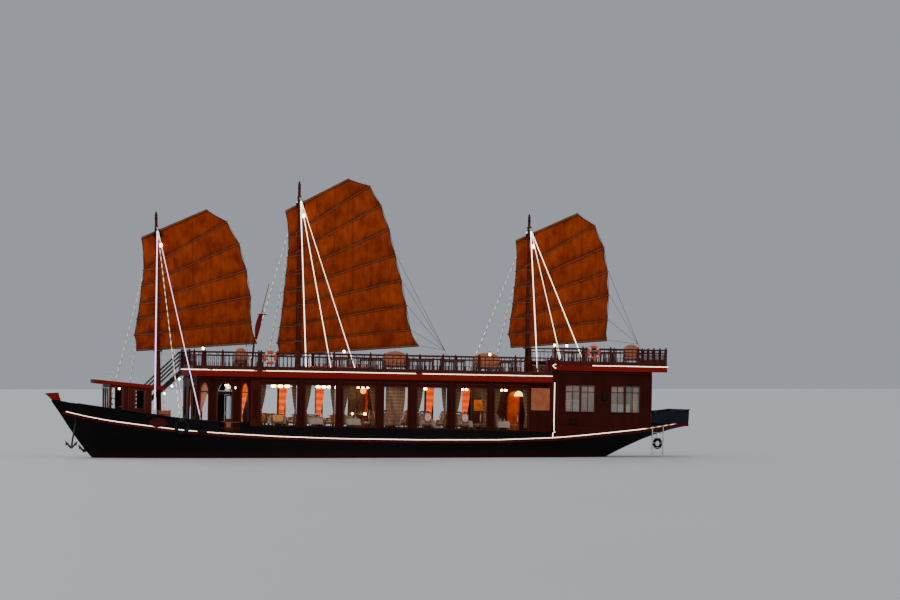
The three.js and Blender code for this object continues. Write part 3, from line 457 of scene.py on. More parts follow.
def makeGrainGroup():
    # long streaks along X of the vector, bent by slow noise
    group, source, result = newGroup(
        "woodGrain", [("Vector", "vector", None), ("Scale", "value", 1.0)], [("Grain", "value")])
    slow = noiseOf(group, source.outputs[0], 1.3, 2.0)
    bent = addNode(group, "ShaderNodeVectorMath", {0: source.outputs[0], 1: slow}, operation="ADD").outputs[0]
    streak = addNode(group, "ShaderNodeMapping", {"Vector": bent, "Scale": (0.8, 14.0, 14.0)}).outputs[0]
    fine = addNode(group, "ShaderNodeTexNoise",
                   {"Vector": streak, "Scale": source.outputs[1], "Detail": 6.0}).outputs[0]
    group.links.new(fine, result.inputs[0])
    return group


def makeWeatherGroup():
    # large soft patches and streaks that run down, as a mask from 0 clean to 1 worn
    group, source, result = newGroup(
        "weather", [("Vector", "vector", None), ("Amount", "value", 0.5)],
        [("Mask", "value"), ("Patches", "value")])
    patches = noiseOf(group, source.outputs[0], 0.55, 5.0)
    streaks = noiseOf(group, source.outputs[0], 3.0, 4.0, (1.0, 1.0, 0.08))
    both = calc(group, "MULTIPLY", rampOf(group, streaks, 0.52, 0.72), rampOf(group, patches, 0.4, 0.65))
    group.links.new(calc(group, "MULTIPLY", both, source.outputs[1], clamp=True), result.inputs[0])
    group.links.new(patches, result.inputs[1])
    return group


def makeWeaveGroup():
    # threads over and under: the higher of two crossed waves, in metres of cloth
    group, source, result = newGroup(
        "weave", [("Vector", "vector", None), ("Thread", "value", 0.004)], [("Height", "value")])
    parts = addNode(group, "ShaderNodeSeparateXYZ", {0: source.outputs[0]}).outputs
    turns = [calc(group, "DIVIDE", calc(group, "MULTIPLY", p, 2 * math.pi), source.outputs[1])
             for p in parts[:2]]
    waves = [calc(group, "SINE", t) for t in turns]
    group.links.new(calc(group, "MAXIMUM", *waves), result.inputs[0])
    return group


planksGroup, grainGroup = makePlanksGroup(), makeGrainGroup()
weatherGroup, weaveGroup = makeWeatherGroup(), makeWeaveGroup()


def useGroup(tree, group, **inputs):
    node = tree.nodes.new("ShaderNodeGroup")
    node.node_tree = group
    for key, value in inputs.items():
        if isinstance(value, bpy.types.NodeSocket):
            tree.links.new(value, node.inputs[key])
        else:
            node.inputs[key].default_value = value
    return node.outputs


shaderInputs = {"specular": "Specular IOR Level", "coat": "Coat Weight", "sheen": "Sheen Weight",
                "strength": "Emission Strength", "metallic": "Metallic", "alpha": "Alpha",
                "roughness": "Roughness"}


def startMaterial(name, **fixed):
    material = bpy.data.materials.new(name)
    material.use_nodes = True
    tree = material.node_tree
    shader = tree.nodes["Principled BSDF"]
    for key, value in fixed.items():
        shader.inputs[shaderInputs[key]].default_value = value
    return material, tree, shader


def shipVector(tree, order="xyz"):
    # the piece's own place in the ship's frame, so that lines follow her decks
    place = addNode(tree, "ShaderNodeTexCoord").outputs["Object"]
    level = addNode(tree, "ShaderNodeMapping", {"Vector": place, "Rotation": (0, trim, 0)}).outputs[0]
    if order == "xyz":
        return level
    parts = addNode(tree, "ShaderNodeSeparateXYZ", {0: level}).outputs
    pick = {"x": parts[0], "y": parts[1], "z": parts[2]}
    return addNode(tree, "ShaderNodeCombineXYZ", {i: pick[c] for i, c in enumerate(order)}).outputs[0]


def setBump(tree, shader, height, strength, distance):
    bump = addNode(tree, "ShaderNodeBump", {"Height": height, "Strength": strength, "Distance": distance})
    tree.links.new(bump.outputs[0], shader.inputs["Normal"])


def woodFinish(name, light, dark, order="xzy", width=0.14, length=4.0, seam=0.008, weather=0.4,
               worn=(0.3, 0.25, 0.2), roughness=(0.35, 0.55), deck=None, boot=None, **fixed):
    # painted or varnished boards; deck gives the two tones of bare boards on faces that look up, and boot the
    # height above the water, the softness of its edge and the colour of the paint below it
    material, tree, shader = startMaterial(name, **fixed)
    vector = shipVector(tree, order)
    planks = useGroup(tree, planksGroup, Vector=vector, Width=width, Length=length, Seam=seam)
    grain = useGroup(tree, grainGroup, Vector=vector, Scale=1.6)["Grain"]
    wear = useGroup(tree, weatherGroup, Vector=shipVector(tree), Amount=weather)
    tone = calc(tree, "ADD", calc(tree, "MULTIPLY", planks["Tone"], 0.45), calc(tree, "MULTIPLY", grain, 0.55))
    colour = blendColour(tree, tone, (*dark, 1), (*light, 1))
    colour = blendColour(tree, calc(tree, "MULTIPLY", wear["Mask"], 0.7), colour, (*worn, 1))
    colour = blendColour(tree, calc(tree, "MULTIPLY", planks["Seam"], 0.75), colour,
                         (*[c * 0.25 for c in dark], 1))
    height = calc(tree, "SUBTRACT", calc(tree, "MULTIPLY", grain, 0.2), planks["Seam"])
    if boot:
        level, soft, below = boot
        place = addNode(tree, "ShaderNodeTexCoord").outputs["Object"]
        up = addNode(tree, "ShaderNodeSeparateXYZ", {0: place}).outputs[2]
        up = calc(tree, "ADD", up, calc(tree, "MULTIPLY", noiseOf(tree, place, 1.2, 4.0), soft))
        colour = blendColour(tree, rampOf(tree, up, level + soft, level), colour, (*below, 1))
    if deck:
        deckVector = shipVector(tree)
        boards = useGroup(tree, planksGroup, Vector=deckVector, Width=0.12, Length=3.0, Seam=0.007)
        fibre = useGroup(tree, grainGroup, Vector=deckVector, Scale=2.2)["Grain"]
        bare = blendColour(tree, calc(tree, "ADD", calc(tree, "MULTIPLY", boards["Tone"], 0.5),
                                      calc(tree, "MULTIPLY", fibre, 0.5)), (*deck[0], 1), (*deck[1], 1))
        bare = blendColour(tree, boards["Seam"], bare, (0.01, 0.008, 0.006, 1))
        up = addNode(tree, "ShaderNodeSeparateXYZ",
                     {0: addNode(tree, "ShaderNodeNewGeometry").outputs["Normal"]})
        mask = calc(tree, "GREATER_THAN", up.outputs[2], 0.9)
        colour = blendColour(tree, mask, colour, bare)
        height = addNode(tree, "ShaderNodeMix",
                         {0: mask, 2: height, 3: calc(tree, "MULTIPLY", boards["Seam"], -1.0)},
                         data_type="FLOAT").outputs[0]
    tree.links.new(colour, shader.inputs["Base Color"])
    tree.links.new(rampOf(tree, wear["Patches"], 0.3, 0.7, *roughness), shader.inputs["Roughness"])
    setBump(tree, shader, height, 0.5, 0.004)
    return material


def metalFinish(name, light, dark, rough, metallic):
    # cast or worked metal with patches of a second tone and fine pits
    material, tree, shader = startMaterial(name, metallic=metallic)
    vector = shipVector(tree)
    patches = noiseOf(tree, vector, 9.0, 5.0)
    pits = noiseOf(tree, vector, 126.0, 2.0)
    wear = useGroup(tree, weatherGroup, Vector=vector, Amount=0.6)["Mask"]
    mix = calc(tree, "ADD", rampOf(tree, patches, 0.4, 0.6), wear, clamp=True)
    tree.links.new(blendColour(tree, mix, (*light, 1), (*dark, 1)), shader.inputs["Base Color"])
    tree.links.new(rampOf(tree, patches, 0.35, 0.65, *rough), shader.inputs["Roughness"])
    setBump(tree, shader, pits, 0.25, 0.002)
    return material


def clothFinish(name, light, dark, thread=0.01, seamEvery=0.0, folds=0.0, paintedGlow=0.0, paintedShade=0.0, checks=0.0,
                **fixed):
    # woven cloth in metres of its own map: seamEvery spaces its sewn seams, the shade attribute darkens it as
    # painted shade by the given amount, it can give off its own colour as a painted glow, and checks is the
    # width of its squares, darker in every second row and column
    material, tree, shader = startMaterial(name, roughness=0.85, **fixed)
    flat = addNode(tree, "ShaderNodeUVMap", uv_map="metres").outputs[0]
    weave = useGroup(tree, weaveGroup, Vector=flat, Thread=thread)["Height"]
    cloudy = noiseOf(tree, flat, 0.9, 5.0)
    soft = noiseOf(tree, flat, 4.5, 4.0, (1.0, 0.35, 1.0))
    tone = calc(tree, "ADD", calc(tree, "MULTIPLY", cloudy, 0.6), calc(tree, "MULTIPLY", soft, 0.4))
    colour = blendColour(tree, rampOf(tree, tone, 0.38, 0.62), (*dark, 1), (*light, 1))
    height = calc(tree, "ADD", calc(tree, "MULTIPLY", weave, 0.1), calc(tree, "MULTIPLY", soft, folds))
    if checks:
        parts = addNode(tree, "ShaderNodeSeparateXYZ", {0: flat}).outputs
        turns = [calc(tree, "FRACT", calc(tree, "DIVIDE", part, checks)) for part in parts[:2]]
        rows = [rampOf(tree, calc(tree, "ABSOLUTE", calc(tree, "SUBTRACT", t, 0.5)), 0.22, 0.28) for t in turns]
        square = calc(tree, "ADD", calc(tree, "MULTIPLY", rows[0], 0.35), calc(tree, "MULTIPLY", rows[1], 0.65))
        colour = blendColour(tree, calc(tree, "MULTIPLY", square, 0.6), colour, (*[c * 0.5 for c in dark], 1))
    if seamEvery:
        parts = addNode(tree, "ShaderNodeSeparateXYZ", {0: flat}).outputs
        step = calc(tree, "FRACT", calc(tree, "DIVIDE", parts[0], seamEvery))
        line = calc(tree, "LESS_THAN", calc(tree, "MULTIPLY", step, seamEvery), 0.03)
        colour = blendColour(tree, calc(tree, "MULTIPLY", line, 0.45), colour, (*[c * 0.35 for c in dark], 1))
        height = calc(tree, "ADD", height, calc(tree, "MULTIPLY", line, 0.6))
    if paintedShade:
        # painted shade: darker bands along the spars, read from the shade attribute and broken up by noise
        shadeMask = addNode(tree, "ShaderNodeAttribute", attribute_name="shade").outputs["Fac"]
        streakyShade = calc(tree, "MULTIPLY", shadeMask, rampOf(tree, noiseOf(tree, flat, 2.6, 4.0), 0.3, 0.7, 0.5, 1.3))
        colour = blendColour(tree, calc(tree, "MULTIPLY", streakyShade, paintedShade, clamp=True), colour,
                             (*[c * 0.18 for c in dark], 1))
    tree.links.new(colour, shader.inputs["Base Color"])
    # painted light: the cloth gives off its own colour, a glow as if lit from within
    if paintedGlow:
        tree.links.new(colour, shader.inputs["Emission Color"])
        shader.inputs["Emission Strength"].default_value = paintedGlow
    setBump(tree, shader, height, 0.6, 0.01)
    return material


def glowFinish(name, bright, dim, strength, spacing=0.0):
    # a lit strip or bulb; spacing in metres of its map sets single lamps along it
    material, tree, shader = startMaterial(name, roughness=0.4, strength=strength)
    if spacing:
        flat = addNode(tree, "ShaderNodeUVMap", uv_map="metres").outputs[0]
        along = addNode(tree, "ShaderNodeSeparateXYZ", {0: flat}).outputs[0]
        wave = calc(tree, "COSINE", calc(tree, "MULTIPLY", along, 2 * math.pi / spacing))
        level = rampOf(tree, wave, -0.6, 0.6)
    else:
        level = rampOf(tree, noiseOf(tree, shipVector(tree), 3.0, 2.0), 0.3, 0.6)
    colour = blendColour(tree, level, (*dim, 1), (*bright, 1))
    tree.links.new(colour, shader.inputs["Emission Color"])
    tree.links.new(colour, shader.inputs["Base Color"])
    return material


def plainFinish(name, light, dark, rough=(0.35, 0.55), scale=6.0, bump=0.2, **fixed):
    # paint, lacquer, rubber or moulded stuff: two close tones and a fine orange-peel surface
    material, tree, shader = startMaterial(name, **fixed)
    vector = shipVector(tree)
    patches = noiseOf(tree, vector, scale, 4.0)
    peel = noiseOf(tree, vector, scale * 12, 3.0)
    tree.links.new(blendColour(tree, rampOf(tree, patches, 0.35, 0.65), (*dark, 1), (*light, 1)),
                   shader.inputs["Base Color"])
    tree.links.new(rampOf(tree, patches, 0.3, 0.7, *rough), shader.inputs["Roughness"])
    setBump(tree, shader, peel, bump, 0.002)
    return material


def glassFinish(name, light, dark, scale, detail, **fixed):
    # thin see-through panes with a slow drift between two tints
    material, tree, shader = startMaterial(name, **fixed)
    drift = noiseOf(tree, shipVector(tree), scale, detail)
    tree.links.new(blendColour(tree, drift, (*dark, 1), (*light, 1)), shader.inputs["Base Color"])
    return material


deckTones = ((0.20, 0.10, 0.045), (0.34, 0.19, 0.09))
glass = glassFinish("glass", (0.70, 0.76, 0.78), (0.55, 0.62, 0.64), 1.5, 2.0, roughness=0.04, alpha=0.10,
                    specular=0.6)
doorGlass = glassFinish("doorGlass", (0.46, 0.56, 0.62), (0.30, 0.42, 0.50), 2.5, 3.0, roughness=0.12,
                        alpha=0.55, specular=0.5)
hullBlack = woodFinish("hullBlack", (0.0042, 0.0032, 0.0038), (0.0018, 0.0015, 0.0018), width=0.16, length=5.0,
                       seam=0.006, weather=0.2, worn=(0.014, 0.009, 0.010), roughness=(0.6, 0.8),
                       deck=deckTones, boot=(0.30, 0.25, (0.020, 0.0016, 0.0016)), specular=0.10)
redPaint = woodFinish("redPaint", (0.24, 0.006, 0.002), (0.15, 0.003, 0.001), width=0.3, length=6.0, seam=0.003,
                      weather=0.35, worn=(0.09, 0.012, 0.007), roughness=(0.5, 0.7), deck=deckTones,
                      specular=0.10)
railPaint = woodFinish("railPaint", (0.11, 0.0045, 0.002), (0.06, 0.002, 0.001), width=0.2, length=4.5,
                       seam=0.004, weather=0.6, worn=(0.04, 0.009, 0.006), roughness=(0.5, 0.7), specular=0.08)
cabinWood = woodFinish("cabinWood", (0.052, 0.0045, 0.0014), (0.024, 0.002, 0.0008), order="zxy", width=0.22,
                       length=3.5, seam=0.004, weather=0.3, worn=(0.06, 0.010, 0.005), roughness=(0.5, 0.75),
                       specular=0.08)
trimWood = woodFinish("trimWood", (0.085, 0.011, 0.0035), (0.045, 0.005, 0.002), order="zxy", width=0.4,
                      length=2.5, seam=0.003, weather=0.2, worn=(0.09, 0.025, 0.012), roughness=(0.4, 0.6),
                      specular=0.15, coat=0.08)
cornerWood = woodFinish("cornerWood", (0.080, 0.006, 0.002), (0.045, 0.003, 0.001), order="zxy", width=0.26,
                        length=3.0, seam=0.003, weather=0.3, worn=(0.07, 0.012, 0.006), roughness=(0.45, 0.65),
                        specular=0.10)
railWood = woodFinish("railWood", (0.070, 0.009, 0.004), (0.036, 0.0045, 0.002), order="xyz", width=0.4,
                      length=1.9, seam=0.002, weather=0.3, worn=(0.09, 0.03, 0.018), roughness=(0.45, 0.65),
                      specular=0.15)
mastPaint = woodFinish("mastPaint", (0.10, 0.012, 0.006), (0.055, 0.007, 0.004), order="zxy", width=3.0,
                       length=9.0, seam=0.001, weather=0.6, worn=(0.11, 0.05, 0.03), roughness=(0.35, 0.55),
                       specular=0.10)
teak = woodFinish("teak", (0.22, 0.085, 0.030), (0.11, 0.038, 0.013), order="zxy", width=0.10, length=2.2,
                  seam=0.005, weather=0.2, roughness=(0.4, 0.6), specular=0.25)
wheelhouseWood = woodFinish("wheelhouseWood", (0.115, 0.013, 0.0035), (0.040, 0.004, 0.0012), order="zxy",
                            width=0.13, length=2.2, seam=0.005, weather=0.2, worn=(0.12, 0.03, 0.012),
                            roughness=(0.35, 0.55), specular=0.08)
floorTeak = woodFinish("floorTeak", (0.28, 0.12, 0.05), (0.15, 0.06, 0.025), order="xyz", width=0.11,
                       length=2.4, seam=0.005, weather=0.1, roughness=(0.25, 0.4), coat=0.3)
bamboo = woodFinish("bamboo", (0.20, 0.065, 0.018), (0.10, 0.028, 0.008), order="xzy", width=3.0, length=0.45,
                    seam=0.012, weather=0.5, worn=(0.2, 0.12, 0.07), roughness=(0.45, 0.7))
# the sail's cloth: painted shade along its battens and a faint painted glow in its own colour
sailcloth = clothFinish("sailcloth", (0.33, 0.044, 0.003), (0.165, 0.016, 0.001), thread=0.02, seamEvery=0.92,
                        folds=1.2, paintedGlow=0.12, paintedShade=0.9, specular=0.12)
# curtains that glow in their own colour as painted light, the orange ones most
curtainBeige = clothFinish("curtainBeige", (0.58, 0.33, 0.18), (0.23, 0.115, 0.055), folds=0.3, paintedGlow=0.05,
                           checks=0.17)
curtainOrange = clothFinish("curtainOrange", (0.95, 0.20, 0.010), (0.70, 0.085, 0.004), folds=0.3, paintedGlow=0.75,
                            checks=0.34, sheen=0.1)
curtainPink = clothFinish("curtainPink", (0.75, 0.33, 0.21), (0.50, 0.19, 0.12), folds=0.3, paintedGlow=0.16,
                          sheen=0.2)
linen = clothFinish("linen", (0.46, 0.36, 0.28), (0.33, 0.25, 0.18), thread=0.004, folds=0.2)
flagCloth = clothFinish("flagCloth", (0.30, 0.012, 0.010), (0.18, 0.006, 0.006), thread=0.006, folds=0.3)
ledWarm = glowFinish("ledWarm", (1.0, 0.90, 0.74), (1.0, 0.82, 0.58), 3.0)
ledPink = glowFinish("ledPink", (0.95, 0.50, 0.80), (0.95, 0.66, 0.86), 1.5)
ledDotted = glowFinish("ledDotted", (1.0, 0.88, 0.62), (0.22, 0.18, 0.12), 1.4, spacing=0.36)
lampGlow = glowFinish("lampGlow", (1.0, 0.74, 0.36), (1.0, 0.60, 0.22), 14.0)
lampWhite = glowFinish("lampWhite", (1.0, 0.95, 0.86), (1.0, 0.88, 0.72), 12.0)
shadeGlow = glowFinish("shadeGlow", (1.0, 0.42, 0.08), (0.95, 0.28, 0.04), 2.2)
domeGlow = glowFinish("domeGlow", (1.0, 0.72, 0.18), (1.0, 0.55, 0.10), 3.5)
# painted light: a weak orange glow for the alcove's back panel, which holds no lamp
alcovePaintedGlow = glowFinish("alcovePaintedGlow", (0.60, 0.10, 0.015), (0.40, 0.035, 0.008), 0.22)
shadeRed = glowFinish("shadeRed", (0.55, 0.06, 0.015), (0.35, 0.03, 0.01), 0.6)
iron = metalFinish("iron", (0.030, 0.028, 0.030), (0.075, 0.035, 0.020), (0.4, 0.75), 0.6)
bronze = metalFinish("bronze", (0.50, 0.30, 0.10), (0.22, 0.20, 0.11), (0.25, 0.5), 1.0)
galvanised = metalFinish("galvanised", (0.62, 0.63, 0.64), (0.42, 0.42, 0.42), (0.3, 0.55), 1.0)
brass = metalFinish("brass", (0.75, 0.50, 0.16), (0.45, 0.27, 0.08), (0.2, 0.4), 1.0)
rubber = plainFinish("rubber", (0.012, 0.011, 0.011), (0.006, 0.006, 0.006), (0.7, 0.9), 8.0, 0.4,
                     specular=0.15)
darkLacquer = plainFinish("darkLacquer", (0.012, 0.006, 0.005), (0.006, 0.003, 0.003), (0.5, 0.7), 5.0,
                          specular=0.12)
chairWood = plainFinish("chairWood", (0.16, 0.05, 0.018), (0.08, 0.022, 0.010), (0.25, 0.45), 9.0, coat=0.3)
whitePaint = plainFinish("whitePaint", (0.78, 0.77, 0.74), (0.62, 0.60, 0.56), (0.3, 0.5), 6.0)
buoyRed = plainFinish("buoyRed", (0.62, 0.055, 0.015), (0.48, 0.035, 0.010), (0.35, 0.6), 7.0)
buoyBand = plainFinish("buoyBand", (0.72, 0.62, 0.58), (0.55, 0.44, 0.40), (0.4, 0.6), 7.0)
signLacquer = plainFinish("signLacquer", (0.40, 0.105, 0.03), (0.33, 0.075, 0.022), (0.2, 0.35), 3.0)
oxblood = plainFinish("oxblood", (0.075, 0.006, 0.004), (0.045, 0.004, 0.003), (0.5, 0.7), 6.0, specular=0.10)
redPad = plainFinish("redPad", (0.50, 0.03, 0.018), (0.36, 0.018, 0.012), (0.6, 0.85), 10.0, 0.5, sheen=0.3)
mahogany = woodFinish("mahogany", (0.13, 0.018, 0.005), (0.06, 0.007, 0.002), order="zxy", width=0.5,
                      length=2.4, seam=0.002, weather=0.2, worn=(0.12, 0.04, 0.02), roughness=(0.35, 0.5),
                      specular=0.25, coat=0.1)
orangePaint = plainFinish("orangePaint", (0.42, 0.075, 0.030), (0.28, 0.045, 0.020), (0.4, 0.6), 5.0)
hullTrim = plainFinish("hullTrim", (0.0095, 0.0095, 0.020), (0.0055, 0.0055, 0.012), (0.5, 0.7), 8.0,
                       specular=0.15)
screenLacquer = plainFinish("screenLacquer", (0.075, 0.016, 0.006), (0.035, 0.008, 0.004), (0.3, 0.5), 9.0, 0.6)
redColumn = plainFinish("redColumn", (0.55, 0.035, 0.010), (0.42, 0.02, 0.006), (0.2, 0.35), 4.0)
sunsetPanel = plainFinish("sunsetPanel", (0.95, 0.42, 0.06), (0.75, 0.16, 0.02), (0.4, 0.6), 1.6)
brocade = plainFinish("brocade", (0.85, 0.36, 0.07), (0.36, 0.09, 0.015), (0.45, 0.7), 17.0, 0.5, sheen=0.3)
cabinPlaster = plainFinish("cabinPlaster", (0.46, 0.34, 0.23), (0.34, 0.24, 0.16), (0.7, 0.9), 3.0, 0.3)
settleCloth = plainFinish("settleCloth", (0.50, 0.17, 0.075), (0.30, 0.085, 0.035), (0.6, 0.85), 12.0, 0.5,
                          sheen=0.3)
porcelain = plainFinish("porcelain", (0.85, 0.84, 0.80), (0.75, 0.73, 0.68), (0.1, 0.2), 4.0, 0.05)
darkRope = plainFinish("darkRope", (0.030, 0.016, 0.010), (0.016, 0.009, 0.006), (0.7, 0.9), 30.0, 0.8)
darkCane = plainFinish("darkCane", (0.055, 0.016, 0.006), (0.025, 0.008, 0.004), (0.45, 0.7), 12.0, 0.5)
paleCane = plainFinish("paleCane", (0.30, 0.13, 0.05), (0.17, 0.06, 0.02), (0.5, 0.75), 14.0, 0.5)
hemp = plainFinish("hemp", (0.20, 0.15, 0.09), (0.11, 0.08, 0.05), (0.8, 0.95), 40.0, 0.8)
upholstery = plainFinish("upholstery", (0.42, 0.16, 0.11), (0.28, 0.085, 0.06), (0.6, 0.85), 10.0, 0.5,
                         sheen=0.3)
blushCloth = plainFinish("blushCloth", (0.72, 0.42, 0.36), (0.58, 0.30, 0.25), (0.7, 0.9), 10.0, 0.5, sheen=0.3)
blueTarp = plainFinish("blueTarp", (0.05, 0.09, 0.22), (0.03, 0.05, 0.13), (0.5, 0.8), 9.0, 0.6)
violetPaint = plainFinish("violetPaint", (0.10, 0.04, 0.16), (0.06, 0.025, 0.10), (0.5, 0.8), 9.0)
darkGlass = plainFinish("darkGlass", (0.03, 0.06, 0.03), (0.015, 0.03, 0.02), (0.05, 0.12), 3.0, 0.02)
floorPaint = plainFinish("floorPaint", (0.72, 0.74, 0.76), (0.70, 0.72, 0.74), (0.5, 0.6), 0.02, 0.0)


floorHalf = 900.0


def makeFloor():
    corners = np.array([[(x, y, 0.0) for y in (-floorHalf, floorHalf)] for x in (-floorHalf, floorHalf)])
    floor = addPiece("floor", gridShape(corners), floorPaint, None, body=None, place=np.asarray)


makeFloor()

# Hull lines

mainDeck, upperDeck, aftRoof = 1.16, 4.19, 4.755
deckRise, foreDeckAft = 0.084, 9.8
saloonHalf = 3.28
# Columns: x, half breadth and height at the rubbing rail, half breadth and height at the top edge
stations = np.array([
    (15.95, 0.090, 2.530, 0.110, 2.600), (15.50, 0.140, 1.990, 0.360, 2.530),
    (15.20, 0.380, 1.907, 0.640, 2.470), (14.52, 1.000, 1.745, 1.300, 2.360),
    (13.93, 1.420, 1.630, 1.720, 2.280), (13.20, 1.830, 1.505, 2.050, 2.190),
    (12.20, 2.240, 1.385, 2.380, 2.070), (11.00, 2.560, 1.250, 2.640, 1.915),
    (9.50, 2.850, 1.100, 2.890, 1.730), (7.50, 3.110, 0.985, 3.150, 1.650),
    (5.00, 3.370, 0.890, 3.380, 1.640), (2.00, 3.430, 0.838, 3.430, 1.640),
    (-2.00, 3.430, 0.850, 3.430, 1.640), (-6.00, 3.390, 0.920, 3.390, 1.700),
    (-8.80, 3.280, 1.068, 3.310, 1.900), (-10.50, 3.130, 1.235, 3.150, 2.050),
    (-12.30, 2.880, 1.440, 2.950, 2.200), (-13.80, 2.620, 1.625, 2.760, 2.430),
    (-15.20, 2.400, 1.870, 2.540, 2.570), (-15.85, 2.280, 1.905, 2.420, 2.660)])


def onSkin(x, column):
    # the hull's skin between its sections: a cubic through the stations, straight over each half bay at
    # the ends
    xs, values = stations[:, 0], stations[:, column]
    last = len(stations) - 1
    after, before = np.minimum(np.arange(last + 1) + 1, last), np.maximum(np.arange(last + 1) - 1, 0)
    slopes = (values[after] - values[before]) / (xs[after] - xs[before])

    def cubic(at):
        i = np.clip(np.searchsorted(-xs, -at, side="left"), 1, last)
        h = xs[i] - xs[i - 1]
        t = (at - xs[i - 1]) / h
        return ((1 + 2 * t) * (1 - t) ** 2 * values[i - 1] + t * (1 - t) ** 2 * h * slopes[i - 1]
                + t * t * (3 - 2 * t) * values[i] + t * t * (t - 1) * h * slopes[i])

    halves = (xs[:-1] + xs[1:]) / 2
    knots = np.sort(np.concatenate([xs, halves[np.abs(xs[:-1]) > 8]]))
    return np.interp(x, knots, cubic(knots))


def railLine(x, column, out=0.0, up=0.0):
    x = np.asarray(x, float)
    return np.stack([x, onSkin(x, column) + out, onSkin(x, column + 1) + up], -1)


def onFlare(x, z, out=0.0):
    # a point of the topside between the rubbing rail and the top edge, at its length and height
    low, high = onSkin(x, 2), onSkin(x, 4)
    share = (z - low) / (high - low)
    return np.stack([x, onSkin(x, 1) + (onSkin(x, 3) - onSkin(x, 1)) * share + out, z], -1)


def alongX(start, end, step=0.25):
    return np.linspace(start, end, max(2, int(abs(end - start) / step)))


def lengthMap(path, ringSize):
    # metres along a swept tube and a turn round it, with the two end points of its caps
    path = np.asarray(path, float)
    run = np.concatenate([[0], np.cumsum(np.linalg.norm(np.diff(path, axis=0), axis=1))])
    around = np.linspace(0, 1, ringSize, endpoint=False)
    grid = np.stack(np.meshgrid(run, around, indexing="ij"), -1).reshape(-1, 2)
    return np.vstack([grid, [[0, 0], [run[-1], 0]]])


def addTubes(name, paths, radius, material, slot, body="ship"):
    # round lines with a map in metres along them
    shapes, maps, sides = [], [], 8
    for path in paths:
        path = np.asarray(path, float)
        reach = path[-1] - path[0]
        up = (1, 0, 0) if abs(reach[2]) > 0.8 * np.linalg.norm(reach) else (0, 0, 1)
        shapes.append(sweep(ring(radius, sides), path, up=up))
        maps.append(lengthMap(path, sides))
    return addPiece(name, joined(shapes), material, slot, body, toWorld, 60, np.vstack(maps))


# Solids kept as they are, smoothed or dressed in their finishes
print("stage: hull and decks")

# Each finish and slot with the solids that it goes on
smoothed = (
    (hullBlack, "hull_black", ("hull", "fore_bulwark", "coaming_port", "coaming_stbd")),
    (hullTrim, "hull_black", ("stern_bulwark",)),
    (railPaint, "rail_paint", ("rub_rail_port", "rub_rail_stbd")),
    (redPaint, "red_paint", ("stem_head",)),
    (iron, "iron", ("rudder",)),
    (bronze, "bronze", ("propeller",)),
    (redPaint, "red_paint", ("upper_deck", "aft_roof", "wheelhouse_roof")),
    (mastPaint, "mast_paint", ("fore_mast", "main_mast", "aft_mast")),
    (iron, "iron", ("anchor_port", "anchor_stbd")),
    (galvanised, "galvanised", ("stern_ladder",)),
    (mastPaint, "mast_paint", ("flag_staff",)),
    (iron, "iron", ("stairs",)),
)
for material, slotName, nodes in smoothed:
    for node in nodes:
        refined(node, material, slotName)

dress(["saloon_wall_port", "saloon_wall_stbd", "vestibule_wall_port", "vestibule_wall_stbd", "vestibule_front",
       "bulkhead_fore", "bulkhead_middle", "aft_cabin_wall_port", "aft_cabin_wall_stbd", "aft_cabin_back",
       "aft_cabin_door"], cabinWood)
dress(["saloon_floor"], floorTeak)
dress([f"wheelhouse_{part}" for part in ("side_port", "side_stbd", "front", "back", "door")], wheelhouseWood)
dress(["sign_board"], signLacquer)
dress([f"{rig}_stays_{side}" for rig in ("fore", "main", "aft") for side in ("port", "stbd")], galvanised)

# Rig
print("stage: masts, sails and stays")

# Mast frames in metres: x forward of the mast's axis, z above its foot
rigs = {
    "fore": {"foot": (10.547, 1.228), "lean": 0.0341, "hounds": 10.071, "top": 10.641, "belly": 0.075,
             "yard": ((0.72, 9.50), (-2.60, 10.86)),
             "leech": ((-3.58, 10.27), (-4.19, 9.16), (-4.53, 7.83), (-4.72, 6.53), (-4.72, 5.26)),
             "luff": ((0.63, 7.91), (0.76, 7.10), (0.86, 6.23), (0.99, 5.49), (1.14, 4.68)),
             "boom": ((1.06, 3.91), (-5.00, 4.19))},
    "main": {"foot": (3.612, 4.190), "lean": 0.0123, "hounds": 8.740, "top": 9.340, "belly": 0.085,
             "yard": ((0.66, 8.005), (-2.54, 9.655)),
             "leech": ((-3.59, 9.33), (-4.18, 8.36), (-4.60, 7.17), (-4.92, 5.88), (-5.23, 4.62), (-5.49, 3.36),
                       (-5.71, 2.12)),
             "luff": ((0.49, 6.71), (0.53, 5.74), (0.62, 4.82), (0.71, 3.99), (0.79, 3.15), (0.90, 2.22),
                      (1.03, 1.44)),
             "boom": ((0.96, 0.83), (-6.15, 1.35))},
    "aft": {"foot": (-7.993, 4.190), "lean": 0.0018, "hounds": 7.466, "top": 7.966, "belly": 0.075,
            "yard": ((0.62, 6.78), (-2.53, 8.22)),
            "leech": ((-3.40, 7.65), (-3.89, 6.55), (-4.10, 5.33), (-4.17, 4.15), (-4.13, 2.90)),
            "luff": ((0.59, 5.26), (0.66, 4.45), (0.72, 3.64), (0.83, 2.86), (0.93, 2.08)),
            "boom": ((0.80, 1.44), (-4.13, 1.88))},
}
sailPlan = {
    "clothY": -0.26,       # the sheet hangs to starboard of the mast
    "scallop": 0.045,      # how far the edges are drawn in between two battens
    "crease": 0.017,
    "columns": 84,
    "rowsPerPanel": 14,
    "ropeRadius": 0.016,
}


def sailLines(rig):
    # boom, battens from the lowest up, yard: each by its fore and its after end
    battens = list(zip(rig["luff"], rig["leech"]))[::-1]
    return np.array([rig["boom"], *battens, rig["yard"]], float)


